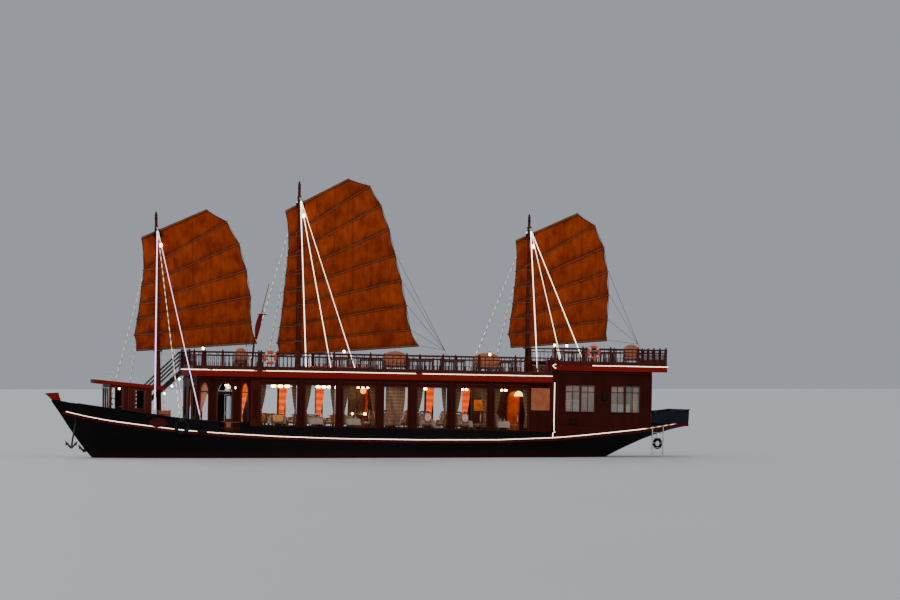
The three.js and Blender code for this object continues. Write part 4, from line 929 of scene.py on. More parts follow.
def sailSurface(rig):
    # each panel is ruled between its two spars; it swells to port as sin(pi u) and sin(pi v), its edges are
    # drawn in, and creases fan out from the batten ends as cos(k angle) dying away with distance
    lines = sailLines(rig)
    panels = len(lines) - 1
    t = np.linspace(0, panels, panels * sailPlan["rowsPerPanel"] + 1)[:, None]
    i = np.minimum(t.astype(int), panels - 1)[:, 0]
    v = t - i[:, None]
    u = np.linspace(0, 1, sailPlan["columns"])[None]
    ends = lines[i] * (1 - v[..., None]) + lines[i + 1] * v[..., None]
    flat = ends[:, None, 0] * (1 - u[..., None]) + ends[:, None, 1] * u[..., None]
    arch = np.sin(np.pi * v) * np.ones_like(u)
    pull = sailPlan["scallop"] * arch * (np.exp(-(1 - u) / 0.06) * 1.25 - np.exp(-u / 0.06))
    swell = rig["belly"] * np.maximum(arch, 0) ** 0.75 * (0.8 + 0.35 * v) * np.sin(np.pi * u) ** 0.45
    crease = np.zeros_like(arch)
    for end, turns, reach in ((1, 15, 1.5), (0, 11, 0.9)):
        for line in (i, i + 1):
            arm = flat - lines[line, end][:, None]
            distance = np.hypot(arm[..., 0], arm[..., 1])
            angle = np.arctan2(arm[..., 1], arm[..., 0])
            crease += np.cos(turns * angle + line[:, None] * 1.7) * np.exp(-distance / reach)
    ripple = (0.35 * np.sin(flat[..., 0] * 5.1 + flat[..., 1] * 2.3)
              * np.sin(flat[..., 0] * 1.9 - flat[..., 1] * 3.7))
    out = swell + sailPlan["crease"] * (crease + ripple) * np.maximum(arch, 0) ** 0.6
    points = np.stack([flat[..., 0] + pull, sailPlan["clothY"] + out, flat[..., 1]], -1)
    # painted shade, carried as the shade attribute: darkest just above the lower spar of each panel, fainter
    # just below the upper one
    shade = np.exp(-v / 0.10) * 0.9 + np.exp(-(1 - v) / 0.05) * 0.45
    shade = np.broadcast_to(shade, arch.shape)
    return points, flat, shade


def makeSail(name, rig):
    points, flat, shade = sailSurface(rig)
    body, place = name + "_rig", mastToWorld(rig)
    sail = addPiece(name + "_sailcloth", gridShape(points), sailcloth, "sailcloth", body, place, 60,
                    flat.reshape(-1, 2), shade.reshape(-1))
    thickened(sail, 0.006)
    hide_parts(name + "_sail")
    lines = sailLines(rig)
    edges = [points[:, 0], points[:, -1], points[0], points[-1]]
    ropes = [sweep(ring(sailPlan["ropeRadius"], 6), edge, up=(0, 1, 0)) for edge in edges]
    addPiece(name + "_boltropes", joined(ropes), darkRope, "rope", body, place, 60)


def makeBattenTrim(name, rig):
    # dark split canes laid along each batten on both faces of the sail, pale lashed tips and the parrels' ropes
    lines = sailLines(rig)[1:-1]
    body, place = name + "_rig", mastToWorld(rig)
    canes, tips, ropes = [], [], []
    for (fx, fz), (ax, az) in lines:
        ahead = np.array((ax - fx, 0, az - fz))
        ahead /= np.linalg.norm(ahead)
        fore, aft = np.array((fx, 0, fz)), np.array((ax, 0, az))
        for y in (sailPlan["clothY"] + 0.034, sailPlan["clothY"] - 0.024):
            canes.append(tube(fore + (0, y, 0), aft + (0, y, 0), 0.022, 8, 0.017))
        tip = aft + (0, sailPlan["clothY"], 0)
        tips.append(tube(tip - ahead * 0.05, tip + ahead * 0.07, 0.032, 10, 0.024))
        tips.append(tube(fore + (0, sailPlan["clothY"], 0) - ahead * 0.06, fore + (0, sailPlan["clothY"], 0),
                         0.03, 10))
        loop = [(fx + 0.02, sailPlan["clothY"] + 0.03, fz), (fx * 0.5, -0.13, fz + 0.03),
                (0.16, 0.02, fz + 0.06), (0.02, 0.17, fz + 0.07), (-0.15, 0.05, fz + 0.07),
                (-0.26, -0.14, fz + 0.06), (-0.4, -0.22, fz + 0.05)]
        ropes.append(sweep(ring(0.011, 6), cubicPath(loop, 4)))
    addPiece(name + "_battens", joined(canes), darkCane, "bamboo", body, place, 50)
    addPiece(name + "_batten_tips", joined(tips), paleCane, "bamboo", body, place, 50)
    addPiece(name + "_parrels", joined(ropes), hemp, "rope", body, place, 60)


# Each stay: where it comes down in the ship's frame, which sides have it, and its lights
landings = {
    "fore": ((12.81, 0, 0, "stbd", "dotted"), (11.94, 0, 0, "stbd", "dotted"),
             (11.13, 0, 0, "port", "thickPink"), (9.91, 0, 0, "both", "dotted"), (8.90, 0, 0, "both", "pink")),
    "main": ((5.78, 2.55, 0, "stbd", "dotted"), (4.75, 3.27, 0, "stbd", "dotted"),
             (3.72, 3.27, 0, "port", "thick"), (2.46, 3.27, 0, "both", "medium"),
             (1.24, 3.27, 0, "both", "thin")),
    "aft": ((-5.61, 3.27, 0, "stbd", "dotted"), (-6.84, 3.27, 0, "stbd", "dotted"),
            (-7.93, 3.27, 0, "port", "thick"), (-9.15, 3.23, 0.565, "both", "thin"),
            (-10.31, 3.15, 0.565, "both", "medium")),
}
stayLights = {
    "pink": (0.020, "ledPink"), "thickPink": (0.034, "ledPink"), "thick": (0.024, "ledWarm"),
    "medium": (0.018, "ledWarm"), "thin": (0.013, "ledWarm"), "dotted": (0.014, "ledDotted"),
}
shoeHeight = 0.13


def stayLine(rig, landing, side):
    # from the hounds down to the shoe, left bare for a hand's breadth at each end
    x, y, z = landing[:3]
    foot = np.array((x, y, upperDeck + z)) if y else np.array((x, onSkin(x, 3) - 0.035, onSkin(x, 4)))
    foot[2] += shoeHeight
    t = rig["hounds"] - 0.1
    head = np.array((rig["foot"][0] + t * math.sin(rig["lean"]), 0.4,
                     rig["foot"][1] + t * math.cos(rig["lean"])))
    line = head + (foot - head) * np.linspace(0.015, 0.985, 40)[:, None]
    return line * (1, side, 1)


def makeStayLights():
    leds = {"ledPink": ledPink, "ledWarm": ledWarm, "ledDotted": ledDotted}
    for name, rig in rigs.items():
        for kind, (radius, led) in stayLights.items():
            paths = [stayLine(rig, landing, side) for landing in landings[name] for side, label in bothSides
                     if landing[4] == kind and landing[3] in (label, "both")]
            if paths:
                addTubes(f"{name}_stay_lights_{kind}", paths, radius, leds[led], "lamp_glow")


def makeMasthead(name, rig):
    # a turned truck, three blocks under the hounds for the halyards, and a lamp below them
    top, hounds, place = rig["top"], rig["hounds"], mastToWorld(rig)
    spots = ((0.12, 0.20), (-0.20, 0.02), (-0.10, 0.22))
    truck = lathe([(0.075, -0.16), (0.085, -0.10), (0.055, -0.05), (0.075, 0.0), (0.04, 0.05), (0.035, 0.09),
                   (0.055, 0.13), (0.045, 0.19), (0.01, 0.23)], 14)
    addPiece(name + "_masthead", moved(truck, (0, 0, top - 0.06)), oxblood, "mast_paint", "ship", place, 40)
    block = cushion(0.16, 0.09, 0.24, 0.55, 8, 14)
    blocks = [moved(block, (x, y, hounds - 0.42)) for x, y in spots]
    straps = [tube((x, y, hounds - 0.31), (x * 0.6, y * 0.55, hounds - 0.08), 0.012, 6) for x, y in spots]
    addPiece(name + "_blocks", joined(blocks + straps), darkLacquer, "mast_paint", "ship", place, 50)
    lamp = lathe([(0.05, -0.10), (0.075, -0.06), (0.08, 0.02), (0.06, 0.08), (0.02, 0.11)], 12)
    addPiece(name + "_mast_lamp", moved(lamp, (-0.20, 0.14, hounds - 0.95)), lampGlow, "lamp_glow", "ship",
             place, 60)


for rigName, rig in rigs.items():
    refined(rigName + "_spars", bamboo, "bamboo", sharp=40)
    makeSail(rigName, rig)
    makeBattenTrim(rigName, rig)
    makeMasthead(rigName, rig)
makeStayLights()

# Lights along the hull and decks
print("stage: strings of lights")

ledRuns = {
    "rubRail": ((15.26, 10.13), (9.98, 9.69), (9.585, 9.05), (8.56, -13.58)),
    "stern": (-13.58, -15.2),
    "railTop": 0.085,
    "edge": 3.455,          # half breadth of the decks' edges
    "edgeRise": 0.02,
    "roof": (-10.7, -14.57),
    "roofFore": -8.70,      # from here aft the roof's edge draws in
    "roofLean": 0.0767,
    "roofBack": -14.60,
    "radius": 0.018,
    "strip": (-8.80, 3.31, ((0, 3.90), (0, 1.50), (-0.06, 1.44), (0.05, 1.38), (0.05, 1.10))),
    "hook": (-8.72, 3.48, ((-0.10, 4.60), (0.0, 4.66), (0.06, 4.74), (0.0, 4.79), (-0.10, 4.80))),
}
upperEdge = np.array([(6.35, 3.43), (7.9, 3.20), (8.35, 3.03), (8.50, 2.97), (8.85, 2.82), (9.25, 2.37),
                      (9.335, 1.2), (9.335, -1.2)])


def makeDeckLights():
    # tubes along the rubbing rail, the decks' edges and the aft roof, with a strip and a hook at its corner
    paths, faint = [], []
    edge, roofZ = ledRuns["edge"], aftRoof + ledRuns["edgeRise"]
    for side in signs:
        for start, end in ledRuns["rubRail"]:
            paths.append(railLine(alongX(start, end), 1, 0.03, ledRuns["railTop"]) * (1, side, 1))
        faint.append(railLine(alongX(*ledRuns["stern"]), 1, 0.03, ledRuns["railTop"]) * (1, side, 1))
        z = upperDeck + ledRuns["edgeRise"]
        for start, end in ((5.75, -1.75), (-2.11, -8.66)) if side > 0 else ((5.75, -8.66),):
            paths.append(np.array([(x, side * edge, z) for x in alongX(start, end, 0.5)]))
        corner = upperEdge if side > 0 else upperEdge[:-2] * (1, -1)
        pieces = (corner[:3], corner[3:]) if side > 0 else (corner[:4],)
        paths += [cubicPath(np.column_stack([c, np.full(len(c), z)]), 5) for c in pieces]
        paths.append(np.array([(x, side * (edge + (x - ledRuns["roofFore"]) * ledRuns["roofLean"]), roofZ)
                               for x in alongX(*ledRuns["roof"], 0.5)]))
        for x, y, bends in (ledRuns["strip"], ledRuns["hook"]):
            paths.append(np.array([(x + dx, side * y, h) for dx, h in bends]))
    paths.append(np.array([(ledRuns["roofBack"], y, roofZ) for y in np.linspace(3.0, -3.0, 14)]))
    addTubes("edge_lights", paths, ledRuns["radius"], ledWarm, "lamp_glow")
    addTubes("stern_lights", faint, 0.016, ledDotted, "lamp_glow")


makeDeckLights()

# Rails
print("stage: rails")

railRuns = {
    "upper_rail_port": (((5.99, 3.38), (-8.60, 3.38)), upperDeck, 0.94, 1.9),
    "upper_rail_stbd": (((5.99, -3.38), (-8.60, -3.38)), upperDeck, 0.94, 1.9),
    "fore_rail_port": (((6.11, 3.38), (7.87, 3.11), (8.80, 2.735), (9.18, 2.32), (9.255, 1.20), (9.255, -1.20),
                        (9.24, -1.44)), upperDeck, 0.94, 1.9),
    "fore_rail_stbd": (((6.11, -3.38), (7.87, -3.11), (8.80, -2.735), (9.18, -2.32), (9.205, -2.08)), upperDeck,
                       0.94, 1.9),
    "aft_rail": (((-8.78, 3.37), (-14.49, 2.935), (-14.49, -2.935), (-8.78, -3.37)), aftRoof, 0.885, 1.43),
}
railShape = {
    "balusterPitch": 0.20,
    "post": ((0.064, 0.0), (0.064, 0.14), (0.055, 0.17), (0.055, -0.10), (0.066, -0.07), (0.066, -0.03),
             (0.04, 0.02), (0.028, 0.035), (0.036, 0.065),
             (0.006, 0.10)),   # radius and height; past the third, height above the rail
    "baluster": ((0.016, 0.0), (0.024, 0.03), (0.024, 0.08), (0.013, 0.14), (0.026, 0.30), (0.022, 0.42),
                 (0.013, 0.66), (0.020, 0.80), (0.013, 0.90), (0.022, 0.97),
                 (0.016, 1.0)),   # radius, share of the height
}
handrail = np.array([(-0.040, -0.030), (0.040, -0.030), (0.044, 0.004), (0.034, 0.026), (0.0, 0.034),
                     (-0.034, 0.026), (-0.044, 0.004)])
kickBoard = np.array([(-0.014, -0.11), (0.014, -0.11), (0.014, 0.10), (-0.014, 0.10)])
midrail = np.array([(-0.025, -0.025), (0.025, -0.025), (0.025, 0.019), (0.019, 0.025), (-0.019, 0.025),
                    (-0.025, 0.019)])


def makeRail(name, points, deckZ, height, pitch):
    points = np.asarray(points, float)
    rise = [z if k < 3 else z + height for k, (_, z) in enumerate(railShape["post"])]
    post = lathe([(r * 1.41, z) for (r, _), z in zip(railShape["post"], rise)], 4)
    posts, upright, short, rails = [*points], [], [], []
    spindle = lathe([(r, z * (height - 0.36) + 0.125) for r, z in railShape["baluster"]], 8)
    stub = lathe([(0.013, height - 0.17), (0.021, height - 0.12), (0.013, height - 0.055)], 8)
    for a, b in zip(points[:-1], points[1:]):
        length = np.linalg.norm(b - a)
        bays = max(1, round(length / pitch))
        stops = a + (b - a) * np.linspace(0, 1, bays + 1)[:, None]
        posts += list(stops[1:-1])
        for c, d in zip(stops[:-1], stops[1:]):
            count = max(1, round(np.linalg.norm(d - c) / railShape["balusterPitch"]))
            places = c + (d - c) * ((np.arange(count) + 0.5) / count)[:, None]
            upright.append(places)
            short.append(places[1::2])
        for z, profile in ((height - 0.03, handrail), (height - 0.19, midrail), (0.10, midrail * (1, 1.2)),
                           (0.13, kickBoard)):
            rails.append(sweep(profile, [(*a, z), (*b, z)]))
    level = lambda rows: np.column_stack([rows, np.full(len(rows), deckZ)])
    shapes = [copies(post, level(np.array(posts)), math.pi / 4), copies(spindle, level(np.vstack(upright))),
              copies(stub, level(np.vstack(short))), moved(joined(rails), (0, 0, deckZ))]
    piece = addPiece(name + "_turned", joined(shapes), railWood, "cabin_wood", smooth=42)
    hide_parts(name)


for name, run in railRuns.items():
    makeRail(name, *run)

# How far each ring is turned, in radians, to lie along its rail
lifebuoys = {"lifebuoy_fore": 0.0, "lifebuoy_aft": 0.076}
buoyShape = {"ring": 0.270, "thick": 0.075, "bandThick": 0.0775, "bandHalf": 0.16, "line": 0.352, "sag": 0.030}


def makeLifebuoys():
    # a padded ring with four pale bands and a grab line looped round its edge
    radius = buoyShape["ring"]
    for name, turn in lifebuoys.items():
        middle = np.mean(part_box(name), axis=0)
        body = torus(radius, buoyShape["thick"], 48, 16)
        bands, lines = [], []
        for k in range(4):
            a = k * math.pi / 2 + math.pi / 4
            arc = np.linspace(a - buoyShape["bandHalf"], a + buoyShape["bandHalf"], 7)
            path = np.stack([radius * np.cos(arc), np.zeros(7), radius * np.sin(arc)], -1)
            bands.append(sweep(ring(buoyShape["bandThick"], 16), path, up=(0, 1, 0)))
            arc = np.linspace(a, a + math.pi / 2, 12)
            slack = buoyShape["line"] + buoyShape["sag"] * np.sin(np.linspace(0, np.pi, 12))
            lines.append(sweep(ring(0.006, 6), np.stack([slack * np.cos(arc), np.zeros(12),
                                                         slack * np.sin(arc)], -1), up=(0, 1, 0)))

        def hung(points):
            x, y, z = np.moveaxis(np.asarray(points, float), -1, 0)
            return np.stack([x * math.cos(turn) - y * math.sin(turn), x * math.sin(turn) + y * math.cos(turn),
                             z], -1) + middle

        piece = addPiece(name + "_ring", body, buoyRed, "buoy", place=hung, smooth=70)
        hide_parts(name)
        addPiece(name + "_bands", joined(bands), buoyBand, "buoy", place=hung, smooth=60)
        addPiece(name + "_line", joined(lines), hemp, "rope", place=hung, smooth=60)


makeLifebuoys()

lanterns = {
    "pixels": (197.7, 343.0, 487.4, 552.0, 564.0),   # where they stand along the rail in the picture
    "pixelSize": 0.05,
    "centrePixel": 368.0,
    "yaw": 0.1763,
}


def atPixel(pixel, y):
    # the picture looks 10 degrees off her beam: x = (368 - pixel) 0.05 / cos 10 + y tan 10
    return (lanterns["centrePixel"] - pixel) * lanterns["pixelSize"] / 0.985 + y * lanterns["yaw"]


def makeLanterns():
    # a turned foot, a glowing barrel and a small peaked cap on the rail
    foot = lathe([(0.05, 0.0), (0.05, 0.02), (0.02, 0.04), (0.045, 0.06)], 12)
    glow = lathe([(0.035, 0.055), (0.055, 0.09), (0.060, 0.14), (0.052, 0.185), (0.03, 0.205)], 12)
    cap = lathe([(0.075, 0.195), (0.055, 0.22), (0.018, 0.26), (0.010, 0.29), (0.002, 0.30)], 12)
    places = []
    for pixel in lanterns["pixels"]:
        x = atPixel(pixel, 3.3)
        if x > 8.0:
            places.append((8.80, 2.735, upperDeck + 0.93))
        elif x < -8.75:
            places.append((x, 3.35, aftRoof + 0.86))
        else:
            places.append((x, 3.38, upperDeck + 0.915))
    addPiece("rail_lantern_frames", joined([copies(foot, places), copies(cap, places)]), darkLacquer, "iron",
             smooth=50)
    addPiece("rail_lantern_glows", copies(glow, places), lampGlow, "lamp_glow", smooth=60)


makeLanterns()

# Deckhouse
print("stage: deckhouse")

saloonWindows = ((5.97, 4.15), (3.72, 2.22), (1.83, 0.23), (-0.22, -1.40), (-1.89, -3.37), (-3.83, -5.38),
                 (-5.80, -7.47))
saloonOpening = (1.50, 3.52)
aftWindows = ((-9.39, -10.11), (-10.20, -10.88), (-11.75, -12.41), (-12.51, -13.22))
aftOpening = (2.48, 3.76)


def frameRows(x0, x1, z0, z1, y, deep, wide):
    # four boards round an opening, on the wall's face at y
    xm, zm, w, h = (x0 + x1) / 2, (z0 + z1) / 2, abs(x1 - x0), z1 - z0
    return [(x0 + math.copysign(wide / 2, x0 - x1), y, zm, wide, deep, h + 2 * wide),
            (x1 - math.copysign(wide / 2, x0 - x1), y, zm, wide, deep, h + 2 * wide),
            (xm, y, z0 - wide / 2, w, deep, wide), (xm, y, z1 + wide / 2, w, deep, wide)]


def bothOf(shape):
    return joined([shape, mirrored(shape)])


saloonTrim = {
    "out": 0.014,             # how far the middle of each board stands off the wall
    "frame": (0.030, 0.055),  # depth and breadth of the boards round the windows
    "wallFore": 6.49,
    "bandMiddle": -1.0,
    "bandLength": 14.9,
    "bands": ((0.0, 3.72, 0.034, 0.05), (0.004, 3.86, 0.040, 0.035), (0.0, 1.465, 0.030, 0.025)),
    "corner": 6.23,
}


def makeSaloonTrim():
    # boards round the windows with sills, bands along the wall, and panelled pilasters between the windows
    y = saloonHalf + saloonTrim["out"]
    rows = [row for x0, x1 in saloonWindows
            for row in frameRows(x0, x1, *saloonOpening, y, *saloonTrim["frame"])]
    rows += [((x0 + x1) / 2, y + 0.018, saloonOpening[0] - 0.012, abs(x1 - x0) + 0.16, 0.07, 0.035)
             for x0, x1 in saloonWindows]
    rows += [(saloonTrim["bandMiddle"], y + off, z, saloonTrim["bandLength"], deep, high)
             for off, z, deep, high in saloonTrim["bands"]]
    frames = addPiece("saloon_window_frames", bothOf(boxes(rows)), trimWood, "cabin_wood")
    bevelled(frames, 0.006)
    gaps = zip([saloonTrim["wallFore"], *[w[1] for w in saloonWindows[:-1]]], [w[0] for w in saloonWindows])
    posts = []
    for a, b in gaps:
        x, w = (a + b) / 2, abs(a - b) - 0.13
        posts += [(x, y + 0.01, 2.66, w, 0.045, 2.36), (x, y + 0.018, 1.56, w + 0.03, 0.06, 0.14),
                  (x, y + 0.018, 3.78, w + 0.03, 0.06, 0.12)]
        posts += [(x, y + 0.034, 2.55, w * 0.5, 0.02, 1.5)]
    posts.append((-8.03, y + 0.002, 3.70, 1.05, 0.03, 0.10))
    pilasters = addPiece("saloon_pilasters", bothOf(boxes(posts)), cabinWood, "cabin_wood")
    bevelled(pilasters, 0.008)
    x = saloonTrim["corner"]
    corner = boxes([(x, y + 0.012, 2.80, 0.50, 0.06, 2.68), (x, y + 0.02, 1.56, 0.54, 0.075, 0.2),
                    (x, y + 0.02, 3.98, 0.54, 0.075, 0.12)])
    bevelled(addPiece("saloon_corner_posts", bothOf(corner), cornerWood, "cabin_wood"), 0.012)


# The aft cabin's wall: its two ends along her length, and how far it stands out at each
aftWall = {"fore": -8.69, "back": -13.85, "foreHalf": 3.26, "backHalf": 2.72}


def aftWallY(x, out=0.0):
    # a straight line between its two ends
    lean = (aftWall["foreHalf"] - aftWall["backHalf"]) / (aftWall["fore"] - aftWall["back"])
    return aftWall["foreHalf"] + (x - aftWall["fore"]) * lean + out


def sheared(shape):
    # a flat piece laid on the aft cabin's wall, which draws in towards the stern
    verts = shape[0].copy()
    verts[:, 1] += aftWallY(verts[:, 0])
    return verts, shape[1]


def makeAftCabinTrim():
    # boards, sills, bars and panes of the windows, vents, mouldings, and planking below the wall
    rows = [row for x0, x1 in aftWindows for row in frameRows(x0, x1, *aftOpening, 0.014, 0.03, 0.045)]
    rows += [((x0 + x1) / 2, 0.024, aftOpening[0] - 0.03, abs(x1 - x0) + 0.14, 0.05, 0.03)
             for x0, x1 in aftWindows]
    frames = addPiece("aft_window_frames", bothOf(sheared(boxes(rows))), trimWood, "cabin_wood")
    bevelled(frames, 0.006)
    z0, z1 = aftOpening
    panes = []
    for x0, x1 in aftWindows:
        middle = (x0 + x1) / 2
        panes += [(middle, -0.035, z1 - 0.30, abs(x1 - x0), 0.03, 0.03),
                  (middle, -0.035, (z0 + z1) / 2, 0.03, 0.03, z1 - z0)]
    addPiece("aft_window_bars", bothOf(sheared(boxes(panes))), trimWood, "cabin_wood")
    glassRows = [((x0 + x1) / 2, -0.045, (z0 + z1) / 2, abs(x1 - x0) - 0.004, 0.006, z1 - z0 - 0.004)
                 for x0, x1 in aftWindows]
    addPiece("aft_window_glass", bothOf(sheared(boxes(glassRows))), glass, "window_glass")
    cover = boxes([(-11.41, 0.022, 3.22, 0.27, 0.05, 0.30), (-9.81, 0.022, 1.98, 0.36, 0.04, 0.26)])
    vents = addPiece("aft_wall_vents", bothOf(sheared(cover)), darkLacquer, "iron")
    bevelled(vents, 0.01)
    edge = boxes([(-13.83, 0.012, 3.05, 0.06, 0.035, 2.55), (-8.98, 0.012, 3.10, 0.05, 0.03, 2.7),
                  (-11.4, 0.012, 4.42, 4.9, 0.03, 0.07)])
    bevelled(addPiece("aft_wall_mouldings", bothOf(sheared(edge)), trimWood, "cabin_wood"), 0.006)
    # planking that carries the cabin's colour down to the rubbing rail
    x = alongX(-8.76, -13.92, 0.3)[:, None]
    low, high = onSkin(x, 2) + 0.072, np.full_like(x, 1.748)
    z = low + (high - low) * np.linspace(0, 1, 4)[None]
    share = (z - onSkin(x, 2)) / (onSkin(x, 4) - onSkin(x, 2))
    y = onSkin(x, 1) + (onSkin(x, 3) - onSkin(x, 1)) * share + 0.012
    cladding = gridShape(np.stack([np.broadcast_to(x, z.shape), y, z], -1))
    piece = addPiece("aft_cladding", bothOf(cladding), cabinWood, "cabin_wood")
    thickened(piece, 0.018)


vestibule = {"aft": 6.49, "aftHalf": 3.16, "lean": 0.2969}  # where its wall starts, and how it draws in


def vestibuleY(x, out=0.0):
    return vestibule["aftHalf"] - vestibule["lean"] * (x - vestibule["aft"]) + out


# Columns: forward edge, after edge, bottom, spring of the arch, its rise above that
arches = ((8.88, 8.45, 1.42, 3.08, 0.52), (8.06, 7.30, 1.16, 3.08, 0.53), (6.90, 6.54, 1.42, 3.08, 0.52))


def archPath(front, back, bottom, spring, rise, steps=14):
    # up one jamb, half an ellipse over, and down the other
    r, x = (front - back) / 2, (front + back) / 2
    angle = np.linspace(0, math.pi, steps)
    crown = np.column_stack([x + r * np.cos(angle), spring + rise * np.sin(angle)])
    return np.vstack([[(front, bottom)], crown, [(back, bottom)]])


def makeVestibuleTrim():
    # mouldings round the arches, transoms, the fanlight's bars, bands along the wall and its pilasters
    mould = np.array([(-0.02, 0.0), (0.045, 0.0), (0.045, 0.018), (0.02, 0.035), (-0.02, 0.035)])
    trims, bars = [], []
    for arch in arches:
        path = archPath(*arch)
        line = np.column_stack([path[:, 0], vestibuleY(path[:, 0], 0.002), path[:, 1]])
        trims.append(sweep(mould, line, up=(0.28, 0.96, 0)))
        xs = np.array(arch[:2])
        z, size = (arch[3] - 0.01, (1.1, 2.8)) if arch is arches[1] else (arch[3] + 0.05, (1.1, 1.0))
        bars.append(sweep(midrail * size, np.column_stack([xs, vestibuleY(xs, -0.04), [z, z]])))
    # white glazing bars in the fanlight: a sill and two that lean in
    front, back, _, spring, _ = arches[1]
    fan = [((front - 0.04, 0.09), (back + 0.04, 0.09)), ((front - 0.05, 0.09), (front - 0.20, 0.42)),
           ((back + 0.05, 0.09), (back + 0.20, 0.42))]
    white = [tube((xa, vestibuleY(xa, -0.04), spring + za), (xb, vestibuleY(xb, -0.04), spring + zb), 0.014, 6)
             for (xa, za), (xb, zb) in fan]
    addPiece("fanlight_bars", bothOf(joined(white)), whitePaint, "white_paint", smooth=50)
    addPiece("vestibule_arch_mouldings", bothOf(joined(trims)), trimWood, "cabin_wood", smooth=30)
    addPiece("vestibule_transoms", bothOf(joined(bars)), darkLacquer, "cabin_wood")
    xs = np.array([9.04, 6.50])
    bands = []
    for z, size in ((3.80, 1.3), (3.95, 1.0), (1.34, 1.2)):
        bands.append(sweep(midrail * size, np.column_stack([xs, vestibuleY(xs, 0.012), [z, z]])))
    addPiece("vestibule_bands", bothOf(joined(bands)), trimWood, "cabin_wood", smooth=30)
    posts = []
    for x in (9.0, 8.27, 7.10):
        posts.append(moved(boxes([(0, 0, 2.6, 0.10, 0.05, 2.4), (0, 0, 3.72, 0.14, 0.07, 0.10),
                                  (0, 0, 1.42, 0.14, 0.07, 0.16)]),
                           (x, vestibuleY(x, 0.012), 0)))
    bevelled(addPiece("vestibule_pilasters", bothOf(joined(posts)), cabinWood, "cabin_wood"), 0.008)


# The leaf as it hangs closed: widths run from its hinge; the wall leans in going forward
leaf = {"hinge": 7.30, "inner": 0.08, "width": 0.385, "thick": 0.04, "bottom": 1.175, "top": 2.99,
        "stiles": (0.050, 0.085), "glass": (1.80, 2.92), "panel": (1.33, 1.62)}


def makeGlazedDoors():
    # two stiles, three rails, one tall pane above a raised panel, on three brass hinges
    turn = math.atan(vestibule["lean"])
    near, far = leaf["stiles"]
    u0, u1, z0, z1 = 0.006, leaf["width"], leaf["bottom"], leaf["top"]
    inside, mid = (u0 + near, u1 - far), leaf["thick"] / 2
    glassLow, glassHigh = leaf["glass"]
    panelLow, panelHigh = leaf["panel"]
    woodRows = [spanBox((u0, u0 + near), (0, leaf["thick"]), (z0, z1)),
                spanBox((u1 - far, u1), (0, leaf["thick"]), (z0, z1))]
    woodRows += [spanBox(inside, (0.002, leaf["thick"] - 0.002), rail) for rail in
                 ((z0, panelLow), (panelHigh, glassLow), (glassHigh, z1))]
    panel = [spanBox(inside, (mid - 0.008, mid + 0.008), (panelLow, panelHigh)),
             spanBox((inside[0] + 0.04, inside[1] - 0.04), (mid - 0.014, mid + 0.014),
                     (panelLow + 0.04, panelHigh - 0.04))]
    pane = spanBox(inside, (mid - 0.003, mid + 0.003), (glassLow, glassHigh))
    metal = [tube((0, -0.012, z - 0.06), (0, -0.012, z + 0.06), 0.0117, 10)
             for z in z0 + (z1 - z0) * np.array((0.12, 0.5, 0.88))]
    metal += [spanBox((u1 - 0.06, u1 - 0.03), (leaf["thick"], leaf["thick"] + 0.004), (1.98, 2.16)),
              tube((u1 - 0.045, leaf["thick"] + 0.02, 2.10), (u1 - 0.15, leaf["thick"] + 0.02, 2.10), 0.008, 8),
              tube((u1 - 0.045, leaf["thick"], 2.10), (u1 - 0.045, leaf["thick"] + 0.02, 2.10), 0.008, 8)]
    y0 = vestibuleY(leaf["hinge"], -leaf["inner"])

    def hung(shape):
        u, w, z = shape[0].T
        x = leaf["hinge"] + u * math.cos(turn) + w * math.sin(turn)
        return np.stack([x, y0 - u * math.sin(turn) + w * math.cos(turn), z], -1), shape[1]

    parts = (("frame", joined(woodRows), trimWood, "teak"), ("panel", joined(panel), orangePaint, "teak"),
             ("pane", pane, doorGlass, "window_glass"), ("hinges", joined(metal), brass, "bronze"))
    for side, label in bothSides:
        for name, shape, material, slotName in parts:
            shape = hung(shape) if side > 0 else mirrored(hung(shape))
            piece = addPiece(f"glazed_door_{label}_{name}", shape, material, slotName,
                             bodyOf[f"vestibule_door_{label}"])
            if name == "frame":
                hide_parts(f"vestibule_door_{label}")
                bevelled(piece, 0.004)


makeSaloonTrim()
makeAftCabinTrim()
makeVestibuleTrim()
makeGlazedDoors()

# Curtains
print("stage: curtains")

curtainShape = {
    "drop": 1.95,
    "usual": (1.5, 7),     # width before gathering, and folds
    "wide": (2.3, 11),
    "arch": (0.9, 5),
    "thickness": 0.003,
    "lineY": 3.10,    # how far out the cloth hangs
    "tie": 0.66,      # share of the drop at which it is tied back
}


def gatheredCloth(width, middle, drop, cut, folds, seed):
    # width(v) and middle(v) give the gathered width and its middle down the drop; the cloth keeps its cut
    # width in folds, as a sine whose depth is sqrt(cut^2 - width^2) / 4 folds
    v = np.linspace(0, 1, 34)[:, None]
    u = np.linspace(0, 1, folds * 10 + 1)[None]
    wide, mid = width(v), middle(v)
    deep = np.sqrt(np.maximum(cut**2 - wide**2, 0.01)) / (4 * folds) * 0.93
    phase = 2 * np.pi * folds * (u + 0.006 * np.sin(9 * v + seed)) + 0.35 * np.sin(5 * v + 3 * u + seed)
    x = mid + wide * (u - 0.5)
    y = deep * np.sin(phase)
    z = -drop * v * np.ones_like(u)
    uv = np.stack([u * cut * np.ones_like(v), v * drop * np.ones_like(u)], -1)
    return np.stack([x * np.ones_like(z), y * np.ones_like(z), z], -1), uv


def addCurtain(name, points, uv, material, place):
    piece = addPiece(name, gridShape(points), material, "curtain", "ship", place, 70, uv.reshape(-1, 2))
    thickened(piece, curtainShape["thickness"])


